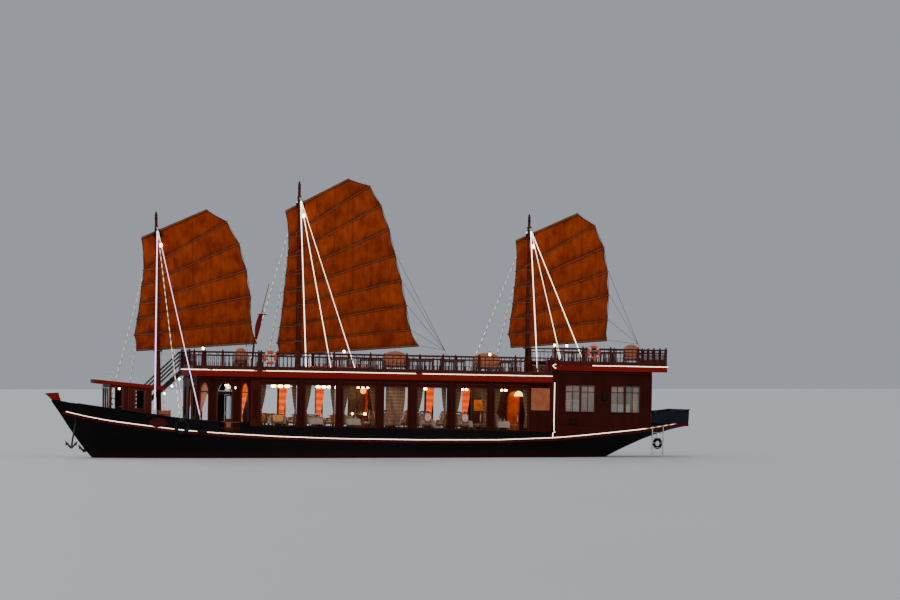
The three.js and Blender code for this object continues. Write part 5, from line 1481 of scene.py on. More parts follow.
def tiedBack(jamb, away, top, tie):
    # from a wide head the cloth is drawn to the jamb at the tie, two thirds down, and opens a little below
    def width(v):
        pinch = np.clip(v / curtainShape["tie"], 0, 1) ** 1.6
        below = np.clip((v - curtainShape["tie"]) / (1 - curtainShape["tie"]), 0, 1)
        return top + (tie - top) * pinch + 0.10 * below

    def middle(v):
        return jamb + away * (width(v) / 2 + 0.01)

    return width, middle


farCurtains = (6.35, 4.10, 2.21, 0.16, -3.42, -5.26, -6.90)   # forward edges of those on the starboard side
aftBlinds = ((1.30, 0.22), (0.42, 0.0), (0.36, 0.0), (1.30, -0.14))   # drop, and shift from the window's middle


def makeCurtains():
    top, ties = saloonOpening[1] + 0.03, []
    drop, lineY = curtainShape["drop"], curtainShape["lineY"]
    for side, label in bothSides:
        for k, (x0, x1) in enumerate(saloonWindows):
            # port ones hang at both jambs; starboard ones hang over the wall forward of each window
            plans = ((x0, -1, 0.30, 0.09),
                     (x1, 1, 0.24, 0.07)) if side > 0 else ((farCurtains[k], -1, 0.42, 0.28),)
            for j, (jamb, away, head, tie) in enumerate(plans):
                full = side > 0 and k == 3
                if full and j:
                    continue
                if full:
                    wide = lambda v: 0.95 - 0.35 * np.clip(v, 0, 1) ** 3
                    mid = lambda v: x1 + 0.56 + 0.05 * v
                    cut, folds = curtainShape["wide"]
                else:
                    wide, mid = tiedBack(jamb, away, head, tie)
                    cut, folds = curtainShape["usual"]
                points, uv = gatheredCloth(wide, mid, drop, cut, folds, k * 1.7 + j)
                points[..., 1] = side * (lineY + points[..., 1])
                points[..., 2] += top
                addCurtain(f"curtain_{label}_{k + 1}{'ab'[j]}", points, uv,
                           curtainBeige if side > 0 else curtainOrange, toWorld)
                if not full:
                    at = jamb + away * (tie / 2 + 0.01)
                    hoop = torus(tie / 2 + 0.02, 0.014, 16, 6)
                    ties.append(lying(hoop, (at, side * lineY, top - drop * curtainShape["tie"])))
        rod = tube((6.0, side * 3.14, top + 0.03), (-7.55, side * 3.14, top + 0.03), 0.014, 8)
        addPiece(f"curtain_rod_{label}", rod, brass, "gilt", smooth=60)
    addPiece("curtain_ties", joined(ties), curtainPink, "curtain", smooth=60)
    for side, label in bothSides:
        for k, (front, back, _, spring, rise) in enumerate(arches):
            if k == 1 or (k == 2 and side < 0):
                continue
            wide0, (cut, folds) = front - back, curtainShape["arch"]
            cloth = curtainPink if k == 0 else curtainOrange
            width = lambda v, w=wide0: (w + 0.06) - (w - 0.06) * np.clip(v / 0.8, 0, 1) ** 1.5
            middle = lambda v, f=front, w=width: f + 0.03 - w(v) / 2
            points, uv = gatheredCloth(width, middle, drop, cut, folds, k + side)
            points[..., 1] = side * (vestibuleY(points[..., 0], -0.17) + points[..., 1])
            points[..., 2] += spring + rise + 0.03
            addCurtain(f"vestibule_curtain_{label}_{k + 1}", points, uv, cloth, toWorld)
        for k, (x0, x1) in enumerate(aftWindows):
            fall, shift = aftBlinds[k]
            wide = abs(x1 - x0) * (0.45 if fall > 1 else 1.0)
            u, v = np.meshgrid(np.linspace(-0.5, 0.5, 25), np.linspace(0, 1, 16))
            x = (x0 + x1) / 2 + shift + u * wide
            y = aftWallY(x, -0.11) + 0.012 * np.sin(u * 40 + v)
            points = np.stack([x, side * y, aftOpening[1] - 0.01 - v * (fall - 0.03)], -1)
            uv = np.stack([u * wide, v * fall], -1)
            addCurtain(f"aft_blind_{label}_{k + 1}", points, uv, curtainBeige, toWorld)


makeCurtains()

# Inside the saloon
print("stage: saloon's inside")

tableRow = {"first": 5.06, "step": -1.88, "count": 7, "y": 2.30, "half": 0.42, "top": 1.912, "cloth": 1.50}
floorTop = 1.262
chairReach = {"window": (0.59, 0.70), "across": 1.29, "ends": 0.72}  # from a table's middle to its chairs


def drapedSquare(cut, half, top, seed):
    # flat out to the table's edge, then down by the rest of its length; the corners' spare cloth falls in
    # soft folds
    s = np.linspace(-cut / 2, cut / 2, 37)
    x, y = np.meshgrid(s, s, indexing="ij")
    cx, cy = np.clip(x, -half, half), np.clip(y, -half, half)
    dx, dy = x - cx, y - cy
    over = np.hypot(dx, dy)
    safe = np.maximum(over, 1e-6)
    angle = np.arctan2(cy + dy * 0.6, cx + dx * 0.6)
    fold = 0.028 * np.sin(14 * angle + seed) + 0.015 * np.sin(23 * angle + 2 * seed)
    flare = np.clip(over, 0, 0.02) + np.clip(over - 0.02, 0, None) * (0.14 + 1.6 * fold)
    drop = np.where(over > 0, np.clip(over - 0.012, 0, None) * 0.985, 0.0)
    points = np.stack([cx + dx / safe * flare, cy + dy / safe * flare, top - drop], -1)
    return points, np.stack([x, y], -1)


def lowChairShapes():
    # a low armchair: straight legs, curled arms and a broad padded back that narrows downwards
    wood = [boxes([(x, y, 0.20, 0.045, 0.045, 0.40) for x in (-0.25, 0.25) for y in (-0.11, 0.22)]),
            boxes([(0, 0.055, 0.40, 0.56, 0.38, 0.06)])]
    rim = [(-0.24, 0.25, 0.42), (-0.30, 0.27, 0.74), (-0.36, 0.28, 0.80), (-0.20, 0.28, 0.80), (0, 0.28, 0.83),
           (0.20, 0.28, 0.80), (0.36, 0.28, 0.80), (0.30, 0.27, 0.74), (0.24, 0.25, 0.42)]
    wood.append(sweep(ring(0.022, 6), cubicPath(rim, 4), up=(0, 1, 0)))
    arm = np.array([(0.27, 0.24, 0.64), (0.29, 0.05, 0.66), (0.27, -0.11, 0.60), (0.26, -0.12, 0.42)])
    wood += [sweep(ring(0.02, 6), cubicPath(arm * (side, 1, 1), 4), up=(1, 0, 0)) for side in (-1, 1)]
    pad = moved(cushion(0.52, 0.37, 0.10, 0.35, 8, 16), (0, 0.055, 0.47))
    back = moved(cushion(0.62, 0.07, 0.34, 0.35, 8, 20), (0, 0.262, 0.615))
    taper = 1 + (back[0][:, 2] - 0.78) * 0.75
    back = (back[0] * np.stack([taper, np.ones_like(taper), np.ones_like(taper)], -1), back[1])
    return joined(wood), pad, back


def ovalChairShapes():
    # cabriole legs, a padded bottom frame, and a carved oval back with a pierced splat
    legs = [cubicPath([(x, y, 0.0), (x * 1.03, y * 1.03, 0.14), (x * 0.96, y * 0.96, 0.28), (x, y, 0.42)], 3)
            for x in (-0.20, 0.20) for y in (-0.11, 0.19)]
    wood = [sweep(ring(0.020, 6), leg, up=(1, 0, 0), sizes=np.linspace(0.75, 1.2, len(leg))) for leg in legs]
    wood.append(boxes([(0, 0.04, 0.425, 0.44, 0.34, 0.05)]))
    frame = torus(0.19, 0.021, 18, 6)
    oval = (frame[0] * (1.0, 1.0, 1.28) + (0, 0.215, 0.80), frame[1])
    wood.append(oval)
    wood += [tube((x * 0.9, 0.205, 0.44), (x, 0.215, 0.62), 0.019, 6) for x in (-0.11, 0.11)]
    wood.append(sweep(ring(0.024, 6), cubicPath([(-0.13, 0.215, 1.03), (-0.05, 0.215, 1.075), (0, 0.215, 1.095),
                                                (0.05, 0.215, 1.075), (0.13, 0.215, 1.03)], 3), up=(0, 1, 0)))
    pad = moved(cushion(0.43, 0.33, 0.07, 0.35, 8, 16), (0, 0.04, 0.475))
    back = moved(cushion(0.30, 0.05, 0.40, 0.8, 8, 16), (0, 0.213, 0.80))
    return joined(wood), pad, back


def makeTables():
    xs = [tableRow["first"] + k * tableRow["step"] for k in range(tableRow["count"])]
    kinds = {"low": (lowChairShapes(), [], [], brocade, brocade),
             "oval": (ovalChairShapes(), [], [], upholstery, blushCloth)}
    plates, napkins, glasses = [], [], []
    for side, label in bothSides:
        for k, x in enumerate(xs):
            y = side * tableRow["y"]
            points, uv = drapedSquare(tableRow["cloth"], tableRow["half"], tableRow["top"], k + side)
            points[..., 0] += x
            points[..., 1] += y
            cloth = addPiece(f"tablecloth_{label}_{k + 1}", gridShape(points), linen, "linen",
                             uv=uv.reshape(-1, 2), smooth=70)
            thickened(cloth, 0.002, offset=1.0)
            window, ends = chairReach["window"][side < 0], chairReach["ends"]
            aisle = chairReach["across"] - window
            for dx, dy, turn in ((0, window, 0), (0, -aisle, math.pi), (-ends, 0, math.pi / 2),
                                 (ends, 0, -math.pi / 2)):
                byWindow = abs(y + dy) > tableRow["y"]
                if k in (0, 4, 5) or not byWindow:
                    _, places, turns, _, _ = kinds["low" if k < 3 else "oval"]
                    places.append((x + dx, y + dy, floorTop))
                    turns.append(turn)
                plates.append((x + dx * 0.36, y + dy * 0.36, tableRow["top"] + 0.004))
                napkins.append((x + dx * 0.36, y + dy * 0.36, tableRow["top"] + 0.016))
                glasses.append((x + dx * 0.36 + 0.16, y + dy * 0.2 + 0.12, tableRow["top"] + 0.003))
    for kind, ((wood, pad, back), places, turns, padCloth, backCloth) in kinds.items():
        addPiece(f"{kind}_chair_frames", copies(wood, places, turns), chairWood, "cabin_wood", smooth=50)
        for name, shape, cloth in (("bottoms", pad, padCloth), ("backs", back, backCloth)):
            addPad(f"{kind}_chair_{name}", copies(shape, places, turns), cloth)
    plate = lathe([(0.07, 0.0), (0.13, 0.012), (0.128, 0.016), (0.075, 0.006)], 20)
    napkin = lathe([(0.05, 0.0), (0.045, 0.04), (0.018, 0.13), (0.004, 0.17)], 8)
    goblet = lathe([(0.032, 0.0), (0.030, 0.004), (0.005, 0.010), (0.005, 0.08), (0.034, 0.11), (0.038, 0.15),
                    (0.030, 0.19)], 10)
    addPiece("dinner_plates", copies(plate, plates), porcelain, "white_paint", smooth=50)
    addPiece("folded_napkins", copies(napkin, napkins), linen, "linen", smooth=50,
             uv=np.tile(napkin[0][:, [0, 2]], (len(napkins), 1)))
    addPiece("wine_glasses", copies(goblet, glasses), glass, "window_glass", smooth=60)


# Columns: middle of the row, spacing of its four shades, radius of a shade
lampRows = ((4.32, 0.345, 0.135), (2.15, 0.290, 0.120), (0.20, 0.240, 0.070), (-2.51, 0.225, 0.095),
            (-4.60, 0.225, 0.085), (-6.60, 0.225, 0.085))
lampHeight = 3.46


def makeLampRows():
    # a brass bar on two stems under the deckhead, with four glowing glass shades below it
    shade = lathe([(0.35, -0.55), (0.80, -0.45), (1.0, -0.05), (0.90, 0.35), (0.45, 0.62), (0.15, 0.66)], 16)
    drop = lathe([(0.05, 0.0), (0.05, 0.02), (0.012, 0.03), (0.012, 0.09)], 8)
    shades, metal = [], []
    for middle, spacing, radius in lampRows:
        spots = np.array([(middle + (k - 1.5) * spacing, 0.0, lampHeight) for k in range(4)])
        shades.append(copies(shade, spots, 0.0, [radius] * 4))
        metal.append(copies(drop, spots + (0, 0, radius * 0.6)))
        bar = lampHeight + radius * 0.6 + 0.09
        metal.append(tube((middle - 1.8 * spacing, 0, bar), (middle + 1.8 * spacing, 0, bar), 0.014, 8))
        metal += [tube((middle + side * spacing, 0, bar), (middle + side * spacing, 0, 4.06), 0.010, 6)
                  for side in (-1, 1)]
        spot = toWorld([(middle, 0.0, lampHeight - 0.30)])[0]
        makePointLight(f"saloonLight{len(shades)}", spot, 26, (1.0, 0.62, 0.28), 0.25)
    addPiece("lamp_row_shades", joined(shades), lampGlow, "lamp_glow", smooth=60)
    addPiece("lamp_row_bars", joined(metal), brass, "gilt", smooth=50)


screens = {"runs": ((0.75, -0.95), (-5.55, -8.55)), "y": -1.86, "bay": 0.43, "rails": (1.32, 2.05, 3.05, 3.60),
           "bottles": 14, "candles": 8}


def makeScreens():
    # carved lacquer screens on the far side of the aisle, one with a bare picture panel, one with an alcove
    # under a lamp whose back glows as painted light
    rows = []
    y = screens["y"]
    for x0, x1 in screens["runs"]:
        w, xm = x0 - x1, (x0 + x1) / 2
        rows += [(xm, y, 2.42, w, 0.035, 2.28)]
        count = round(w / screens["bay"])
        rows += [(x1 + w * k / count, y + 0.005, 2.45, 0.05, 0.06, 2.38) for k in range(count + 1)]
        rows += [(xm, y + 0.005, z, w, 0.055, 0.06) for z in screens["rails"]]
    bevelled(addPiece("saloon_screens", boxes(rows), screenLacquer, "cabin_wood"), 0.008)
    panel = boxes([(-5.98, -1.815, 2.68, 0.66, 0.02, 0.56)])
    bevelled(addPiece("bare_picture_panel", panel, sunsetPanel, "sign_paint"), 0.01)
    arch = archPath(-7.36, -7.98, 1.36, 3.00, 0.42, 12)
    line = np.column_stack([arch[:, 0], np.full(len(arch), -1.80), arch[:, 1]])
    border = np.array([(-0.02, 0), (0.02, 0), (0.02, 0.03), (-0.02, 0.03)])
    addPiece("alcove_arch", sweep(border, line, up=(0, 1, 0)), redColumn, "red_paint")
    # the alcove's back panel glows as painted light
    addPiece("alcove_back", moved(plate(arch, 0.012), (0, -1.828, 0)), alcovePaintedGlow, "lamp_glow")
    dome = lathe([(0.30, 0.0), (0.29, 0.06), (0.22, 0.16), (0.10, 0.22), (0.02, 0.235)], 20)
    addPiece("alcove_lamp", moved((dome[0] * (0.75, 0.75, 1.1), dome[1]), (-7.88, -1.50, 3.18)), domeGlow,
             "lamp_glow", smooth=60)
    column = lathe([(0.13, 0.0), (0.13, 0.10), (0.09, 0.14), (0.085, 2.0), (0.12, 2.08), (0.12, 2.15)], 16)
    addPiece("saloon_columns", moved(column, (-0.15, -1.68, 1.27)), redColumn, "red_paint", smooth=45)
    lantern = lathe([(0.04, 0.0), (0.13, 0.06), (0.15, 0.16), (0.13, 0.27), (0.04, 0.33)], 14)
    addPiece("column_lantern", moved(lantern, (0.05, -1.55, 3.15)), shadeGlow, "lamp_glow", smooth=60)
    rng = np.random.default_rng(7)
    bottles, count = screens["bottles"], screens["bottles"] + screens["candles"]
    places = np.column_stack([rng.uniform(-0.85, 0.6, count), rng.uniform(-1.68, -1.50, count),
                              np.full(count, 2.09)])
    shelf = boxes([(-0.1, -1.60, 2.06, 1.65, 0.32, 0.05), (-0.1, -1.60, 1.66, 1.6, 0.28, 0.78)])
    bevelled(addPiece("bar_counter", shelf, chairWood, "cabin_wood"), 0.012)
    bottle = lathe([(0.036, 0.0), (0.038, 0.02), (0.038, 0.17), (0.014, 0.22), (0.012, 0.29), (0.016, 0.30)],
                   10)
    addPiece("bar_bottles", copies(bottle, places[:bottles], 0.0, rng.uniform(0.8, 1.1, bottles)), darkGlass,
             "window_glass", smooth=60)
    candle = lathe([(0.03, 0.0), (0.035, 0.03), (0.03, 0.09), (0.012, 0.12)], 10)
    addPiece("bar_candles", copies(candle, places[bottles:]), lampGlow, "lamp_glow", smooth=60)


makeTables()
makeLampRows()
makeScreens()

# Vestibule
print("stage: vestibule")


def makeAftCabinInside():
    # a plastered partition along the cabin with a doorway, a pale chest against it and a lamp over it
    rows = [(-11.25, 1.16, 3.16, 3.70, 0.05, 2.80), (-13.54, 1.16, 3.16, 0.50, 0.05, 2.80),
            (-13.20, 1.16, 4.30, 0.20, 0.05, 0.52)]
    bevelled(addPiece("cabin_partition", boxes(rows), cabinPlaster, "cabin_wood"), 0.006)
    chest = boxes([(-12.5, 1.45, 2.31, 0.9, 0.48, 1.1), (-10.15, 1.45, 2.41, 0.7, 0.48, 1.3)])
    bevelled(addPiece("cabin_chests", chest, whitePaint, "white_paint"), 0.02)
    lamp = lathe([(0.03, -0.05), (0.09, -0.04), (0.10, 0.0), (0.05, 0.03)], 16)
    addPiece("cabin_lamps", copies(lamp, [(-10.2, 1.9, 4.50), (-12.4, 1.9, 4.50)]), lampWhite, "lamp_glow",
             smooth=60)
    makePointLight("aftCabinLight", toWorld([(-11.3, 2.1, 4.0)])[0], 16, (1.0, 0.80, 0.56), 0.2)


vestibuleLamps = {
    "lantern": (7.12, 0.0, 3.44),
    "deckhead": 4.06,
    "bulbs": (6.70, 2.80),
    "bracket": 3.32,
    "entrance": (7.19, 3.34),   # x and height
}


def makeVestibuleInside():
    # a red shade with a white rim round a warm lamp, under the deckhead
    red = lathe([(0.02, 0.20), (0.09, 0.18), (0.15, 0.12), (0.17, 0.055), (0.15, 0.05)], 18)
    rim = lathe([(0.16, 0.05), (0.178, 0.045), (0.178, 0.0), (0.16, -0.01)], 18)
    lamp = lathe([(0.13, -0.02), (0.135, -0.07), (0.10, -0.13), (0.03, -0.15)], 16)
    for name, shape, material in (("shade", red, shadeRed), ("rim", rim, lampWhite), ("lamp", lamp, domeGlow)):
        addPiece("vestibule_lantern_" + name, moved(shape, vestibuleLamps["lantern"]), material, "lamp_glow",
                 smooth=50)
    x, y, z = vestibuleLamps["lantern"]
    rod = tube((x, y, 3.60), (x, y, vestibuleLamps["deckhead"]), 0.012, 8)
    addPiece("vestibule_lantern_rod", rod, brass, "gilt", smooth=60)
    # three bulbs in the head of the after arch
    bulb = lathe([(0.02, -0.06), (0.055, -0.03), (0.06, 0.02), (0.02, 0.07)], 12)
    (x, y), z = vestibuleLamps["bulbs"], vestibuleLamps["bracket"]
    bulbs = [(x + dx, y, height) for dx, height in ((-0.10, 3.38), (0.10, 3.38), (0.0, 3.47))]
    addPiece("arch_bulbs", copies(bulb, bulbs), domeGlow, "lamp_glow", smooth=60)
    bracket = [tube((x, y, z), (x + dx, y, z + 0.02), 0.010, 6) for dx in (-0.10, 0.10)]
    bracket += [tube((x, y, z - 0.02), (x, y, z + 0.10), 0.012, 6), tube((x, y, z), (x, y + 0.24, z), 0.012, 6)]
    addPiece("arch_bulb_bracket", joined(bracket), brass, "gilt", smooth=60)
    makePointLight("vestibuleLight", toWorld([(7.15, 0.4, 3.0)])[0], 28, (1.0, 0.70, 0.42), 0.2)
    sconce = lathe([(0.010, -0.06), (0.025, -0.03), (0.028, 0.02), (0.012, 0.05)], 10)
    x, z = vestibuleLamps["entrance"]
    spots = [(x, side * (vestibuleY(x) + 0.05), z) for side in signs]
    addPiece("entrance_lamps", copies(sconce, spots), lampGlow, "lamp_glow", smooth=60)
    rope = []
    for side in signs:
        a, b = (7.92, side * 3.02, 1.66), (6.98, side * 3.12, 1.64)
        line = np.array(a) + (np.array(b) - a) * np.linspace(0, 1, 16)[:, None]
        line[:, 2] -= 0.02 * np.sin(np.linspace(0, np.pi, 16))
        rope.append(sweep(ring(0.014, 6), line))
    addPiece("boarding_rope", joined(rope), hemp, "rope", smooth=60)


makeVestibuleInside()
makeAftCabinInside()

# Upper deck
print("stage: upper deck and roof")

# Columns: x, y, deck, length, turn in radians; at no turn it looks to starboard
settees = ((6.85, 2.0, upperDeck, 0.62, 0.0), (-0.95, 2.2, upperDeck, 1.22, math.pi),
           (-5.60, 2.2, upperDeck, 1.32, math.pi), (-13.05, 1.6, aftRoof, 0.80, math.pi))


def makeSettees():
    woodParts, seats, backs = [], [], []
    for x, y, deck, length, turn in settees:
        half = length / 2
        rows = [(dx, dy, 0.22, 0.07, 0.07, 0.44) for dx in (-half + 0.035, half - 0.035)
                for dy in (-0.27, 0.27)]
        rows += [(0, 0, 0.34, length, 0.60, 0.07), (0, 0.28, 0.86, length, 0.05, 0.06),
                 (0, 0.29, 0.50, length, 0.04, 0.05)]
        rows += [(dx, 0.285, 0.60, 0.075, 0.075, 0.62) for dx in (-half + 0.037, half - 0.037)]
        rows += [(dx, 0.29, 0.68, 0.035, 0.03, 0.36)
                 for dx in np.linspace(-half + 0.15, half - 0.15, round(length / 0.12))]
        rows += [(side * (half - 0.03), 0.02, 0.62, 0.06, 0.52, 0.05) for side in (-1, 1)]
        at = np.array([(x, y, deck)])
        woodParts.append(copies(boxes(rows), at, turn))
        seats.append(copies(moved(cushion(length - 0.06, 0.56, 0.12, 0.3, 8, 20), (0, -0.01, 0.435)), at, turn))
        back = cushion(length, 0.16, 0.46, 0.45, 12, 24)
        # the back's top is an arc, highest in the middle
        crest = np.clip((back[0][:, 2] + 0.23) / 0.46, 0, 1) * 0.17 * (1 - (back[0][:, 0] / half) ** 2)
        back = (back[0] + np.stack([crest * 0, crest * 0, crest - 0.05], -1), back[1])
        backs.append(copies(moved(back, (0, 0.265, 0.78)), at, turn))
    frames = addPiece("settee_frames", joined(woodParts), chairWood, "cabin_wood")
    bevelled(frames, 0.008)
    addPad("settee_cushions", joined(seats), upholstery)
    addPad("settee_backs", joined(backs), settleCloth)


deckTables = {
    "rows": (((1.6, -0.1, -2.6, -4.2, -6.6), 1.15, upperDeck), ((-10.4, -11.9), 1.25, aftRoof)),
    "reach": 0.62,   # from a table's middle to its chairs
}
benches = {"along": np.arange(3.0, -0.2, -0.80), "out": 2.93, "size": (0.72, 0.46)}


def makeDeckSeating():
    # low benches with red cushions along both sides, and bare tables with slatted chairs between them
    bench, spots, (length, deep) = [], [], benches["size"]
    for side, x in itertools.product(signs, benches["along"]):
        y = side * benches["out"]
        bench.append((x, y, 0.13, length, deep, 0.05))
        bench += [(x + dx, y + dy, 0.055, 0.05, 0.05, 0.11) for dx in (-0.32, 0.32) for dy in (-0.19, 0.19)]
        spots.append((x, y, upperDeck + 0.23))
    base = addPiece("bench_frames", moved(boxes(bench), (0, 0, upperDeck)), chairWood, "cabin_wood")
    bevelled(base, 0.006)
    addPad("bench_cushions", copies(cushion(length, deep, 0.15, 0.3, 8, 20), spots), redPad)
    tables, chairs, turns, reach = [], [], [], deckTables["reach"]
    for xs, out, deck in deckTables["rows"]:
        for x, side in itertools.product(xs, signs):
            tables.append((x, side * out, deck))
            chairs += [(x - reach, side * out, deck), (x + reach, side * out, deck)]
            turns += [math.pi / 2, -math.pi / 2]
    rows = [(0, y, 0.705, 0.74, 0.095, 0.03) for y in np.linspace(-0.32, 0.32, 7)]
    rows += [(dx, dy, 0.345, 0.055, 0.055, 0.69) for dx in (-0.31, 0.31) for dy in (-0.31, 0.31)]
    rows += [(0, dy, 0.65, 0.62, 0.03, 0.07) for dy in (-0.31, 0.31)]
    addPiece("deck_tables", copies(boxes(rows), tables), chairWood, "cabin_wood")
    rows = [(0, y, 0.43, 0.40, 0.055, 0.022) for y in np.linspace(-0.17, 0.17, 6)]
    rows += [(dx, dy, 0.21, 0.035, 0.035, 0.42) for dx in (-0.18, 0.18) for dy in (-0.17, 0.17)]
    rows += [(dx, 0.19, 0.62, 0.035, 0.03, 0.40) for dx in (-0.18, 0.18)]
    rows += [(0, 0.19, z, 0.34, 0.018, 0.05) for z in (0.56, 0.66, 0.76)]
    addPiece("deck_chairs", copies(boxes(rows), chairs, turns), chairWood, "cabin_wood")


def makeDeckOddments():
    # an end locker by the step up to the roof, violet bags by the rail, and steps between the two levels
    locker = boxes([(-8.62, 3.02, 4.62, 0.34, 0.40, 0.84), (-8.62, -3.02, 4.62, 0.34, 0.40, 0.84)])
    bevelled(addPiece("deck_lockers", locker, redPaint, "red_paint"), 0.015)
    bag = cushion(0.34, 0.16, 0.44, 0.4, 10, 20)
    addPad("deck_bags", copies(bag, [(6.02, 3.20, 4.43), (-1.98, 3.20, 4.43)]), violetPaint)
    rows = [(-8.42 - 0.20 * k, 0, 4.19 + 0.095 * (2 * k + 1) - 0.02, 0.26, 1.0, 0.04) for k in range(2)]
    rows += [(-8.50, side * 0.52, 4.33, 0.48, 0.04, 0.26) for side in (1, -1)]
    addPiece("roof_step", boxes(rows), teak, "teak")


makeSettees()
makeDeckSeating()
makeDeckOddments()

# Wheelhouse and foredeck
print("stage: wheelhouse and foredeck")

# The wheelhouse roof's top falls aft from its front edge
wheelhouse = {
    "half": 1.35,
    "roofFront": 14.01,
    "roofTopAtFront": 3.633,
    "roofDepth": 0.188,
    "sideWindows": ((13.13, 12.63, 2.15, 3.23), (11.93, 11.53, 2.23, 3.10)),
    "posts": (13.22, 12.56, 12.28, 12.0, 11.46, 11.16),
    "postFoot": 1.85,
    "frontWindows": (-0.83, 0.0, 0.83),
}


def roofTop(x):
    return wheelhouse["roofTopAtFront"] - deckRise * (wheelhouse["roofFront"] - x)


def makeWheelhouseTrim():
    # boards round the side windows, a band and posts on the sides, white frames round the front's panes
    half, rows, sill, foot = wheelhouse["half"], [], [], wheelhouse["postFoot"]
    for x0, x1, z0, z1 in wheelhouse["sideWindows"]:
        rows += frameRows(x0, x1, z0, z1, half + 0.012, 0.03, 0.045)
    rows += [(12.2, half + 0.012, 1.86, 2.1, 0.03, 0.05)]
    under = lambda x: roofTop(x) - wheelhouse["roofDepth"]
    rows += [(x, half + 0.010, (foot + under(x)) / 2, 0.06, 0.04, under(x) - foot) for x in wheelhouse["posts"]]
    frames = addPiece("wheelhouse_mouldings", bothOf(boxes(rows)), mahogany, "teak")
    bevelled(frames, 0.006)
    for y in wheelhouse["frontWindows"]:
        sill += [(13.262, y, z, 0.03, 0.76, 0.045) for z in (2.23, 3.22)]
        sill += [(13.262, y + dy, 2.725, 0.03, 0.045, 1.03) for dy in (-0.36, 0.36)]
    bevelled(addPiece("wheelhouse_front_frames", boxes(sill), whitePaint, "white_paint"), 0.006)
    panes = [(13.21, y, 2.725, 0.006, 0.676, 0.946) for y in wheelhouse["frontWindows"]]
    addPiece("wheelhouse_glass", boxes(panes), glass, "window_glass")


wheel = {"at": (12.98, 0, 2.42), "reach": 0.42, "rim": 0.30, "spokes": 8}


def makeWheel():
    # steering wheel on a turned post, a console with round dials, and a stool behind it
    x, _, z = wheel["at"]
    reach, step = wheel["reach"], 2 * math.pi / wheel["spokes"]
    spokes = [tube((x, reach * math.cos(a) * 0.12, z + reach * math.sin(a) * 0.12),
                   (x, reach * math.cos(a), z + reach * math.sin(a)), 0.013, 6, 0.016)
              for a in np.arange(wheel["spokes"]) * step]
    rim = torus(wheel["rim"], 0.022, 32, 8)
    hub = torus(0.045, 0.03, 16, 8)
    turned = [(shape[0][:, [2, 1, 0]] + wheel["at"], turnedRound(shape[1])) for shape in (rim, hub)]
    post = tube((13.02, 0, 2.42), (13.12, 0, 2.42), 0.03, 10)
    addPiece("steering_wheel", joined(spokes + turned + [post]), mahogany, "teak", smooth=50)
    desk = boxes([(13.14, 0, 2.02, 0.10, 1.6, 0.72), (13.08, 0, 2.40, 0.20, 1.6, 0.04)])
    bevelled(addPiece("helm_console", desk, mahogany, "teak"), 0.012)
    dial = torus(0.055, 0.01, 20, 6)
    face = lathe([(0.055, 0.0), (0.05, 0.006), (0.001, 0.006)], 20)
    spots = [(13.08, y, 2.425) for y in (-0.6, -0.42, 0.42, 0.6)]
    addPiece("helm_dial_rims", copies(dial, spots), brass, "gilt", smooth=60)
    addPiece("helm_dial_faces", copies(face, spots), porcelain, "white_paint", smooth=60)
    stool = lathe([(0.16, 1.72), (0.16, 1.75), (0.03, 1.78), (0.03, 2.18), (0.12, 2.22), (0.12, 2.24)], 16)
    addPiece("helm_stool", moved(stool, (12.42, 0, 0)), darkLacquer, "iron", smooth=50)
    pad = moved(cushion(0.36, 0.36, 0.08, 0.5, 8, 20), (12.42, 0, 2.285))
    addPad("helm_stool_pad", pad, upholstery)
    disc = lathe([(0.02, 0.04), (0.050, 0.03), (0.055, 0.0), (0.045, -0.02)], 16)
    at = (disc[0][:, [0, 2, 1]] * (1, -1, 1) + (12.42, -1.27, 3.18), disc[1])
    addPiece("wheelhouse_lamp", outward(at), lampWhite, "lamp_glow", smooth=60)


# Columns of aerials: x of foot and tip, y, height of the tip, radius below and above
roofGear = {
    "stand": 13.05,
    "aerials": ((12.05, 12.02, 0.30, 4.50, 0.012, 0.005), (12.95, 12.93, -0.5, 4.25, 0.010, 0.004)),
}


def makeRoofGear():
    # a stand with two lamps, and two bare aerials that lean a little aft
    x0 = roofGear["stand"]
    base = roofTop(x0)
    post = lathe([(0.05, -0.01), (0.05, 0.015), (0.016, 0.03), (0.016, 0.36)], 10)
    lampBody = lathe([(0.03, 0.35), (0.045, 0.37), (0.045, 0.42), (0.02, 0.45)], 10)
    stand = [moved(shape, (x0 + dx, 0.0, base)) for dx in (0.09, -0.09) for shape in (post, lampBody)]
    stand.append(boxes([(x0, 0.0, base + 0.16, 0.26, 0.03, 0.03)]))
    addPiece("roof_lamp_stand", joined(stand), whitePaint, "white_paint", smooth=50)
    aerials = [tube((foot, y, roofTop(foot) - 0.01), (tip, y, z), thick, 6, thin)
               for foot, tip, y, z, thick, thin in roofGear["aerials"]]
    addPiece("roof_aerials", joined(aerials), whitePaint, "white_paint", smooth=60)


def makeStairLamps():
    # small globes that hang on short stems under the flight of steps
    globe = lathe([(0.012, -0.06), (0.045, -0.035), (0.055, 0.0), (0.045, 0.035), (0.014, 0.06)], 12)
    stem = lathe([(0.018, 0.05), (0.018, 0.08), (0.008, 0.09), (0.008, 0.30)], 8)
    spots = [(10.12, -1.50, 2.98), (9.74, -1.50, 3.36), (9.38, -1.50, 3.72)]
    addPiece("stair_lamps", copies(globe, spots), lampWhite, "lamp_glow", smooth=60)
    addPiece("stair_lamp_stems", copies(stem, spots), iron, "iron", smooth=60)


def makeStemHeadCap():
    # a dark moulding along the top of the stem head
    top = [(16.262, 0, 2.868), (15.625, 0, 2.911)]
    cap = sweep(np.array([(-0.275, -0.02), (0.275, -0.02), (0.285, 0.0), (0.275, 0.022), (-0.275, 0.022),
                          (-0.285, 0.0)]), top)
    addPiece("stem_head_cap", cap, hullTrim, "hull_black", smooth=30)


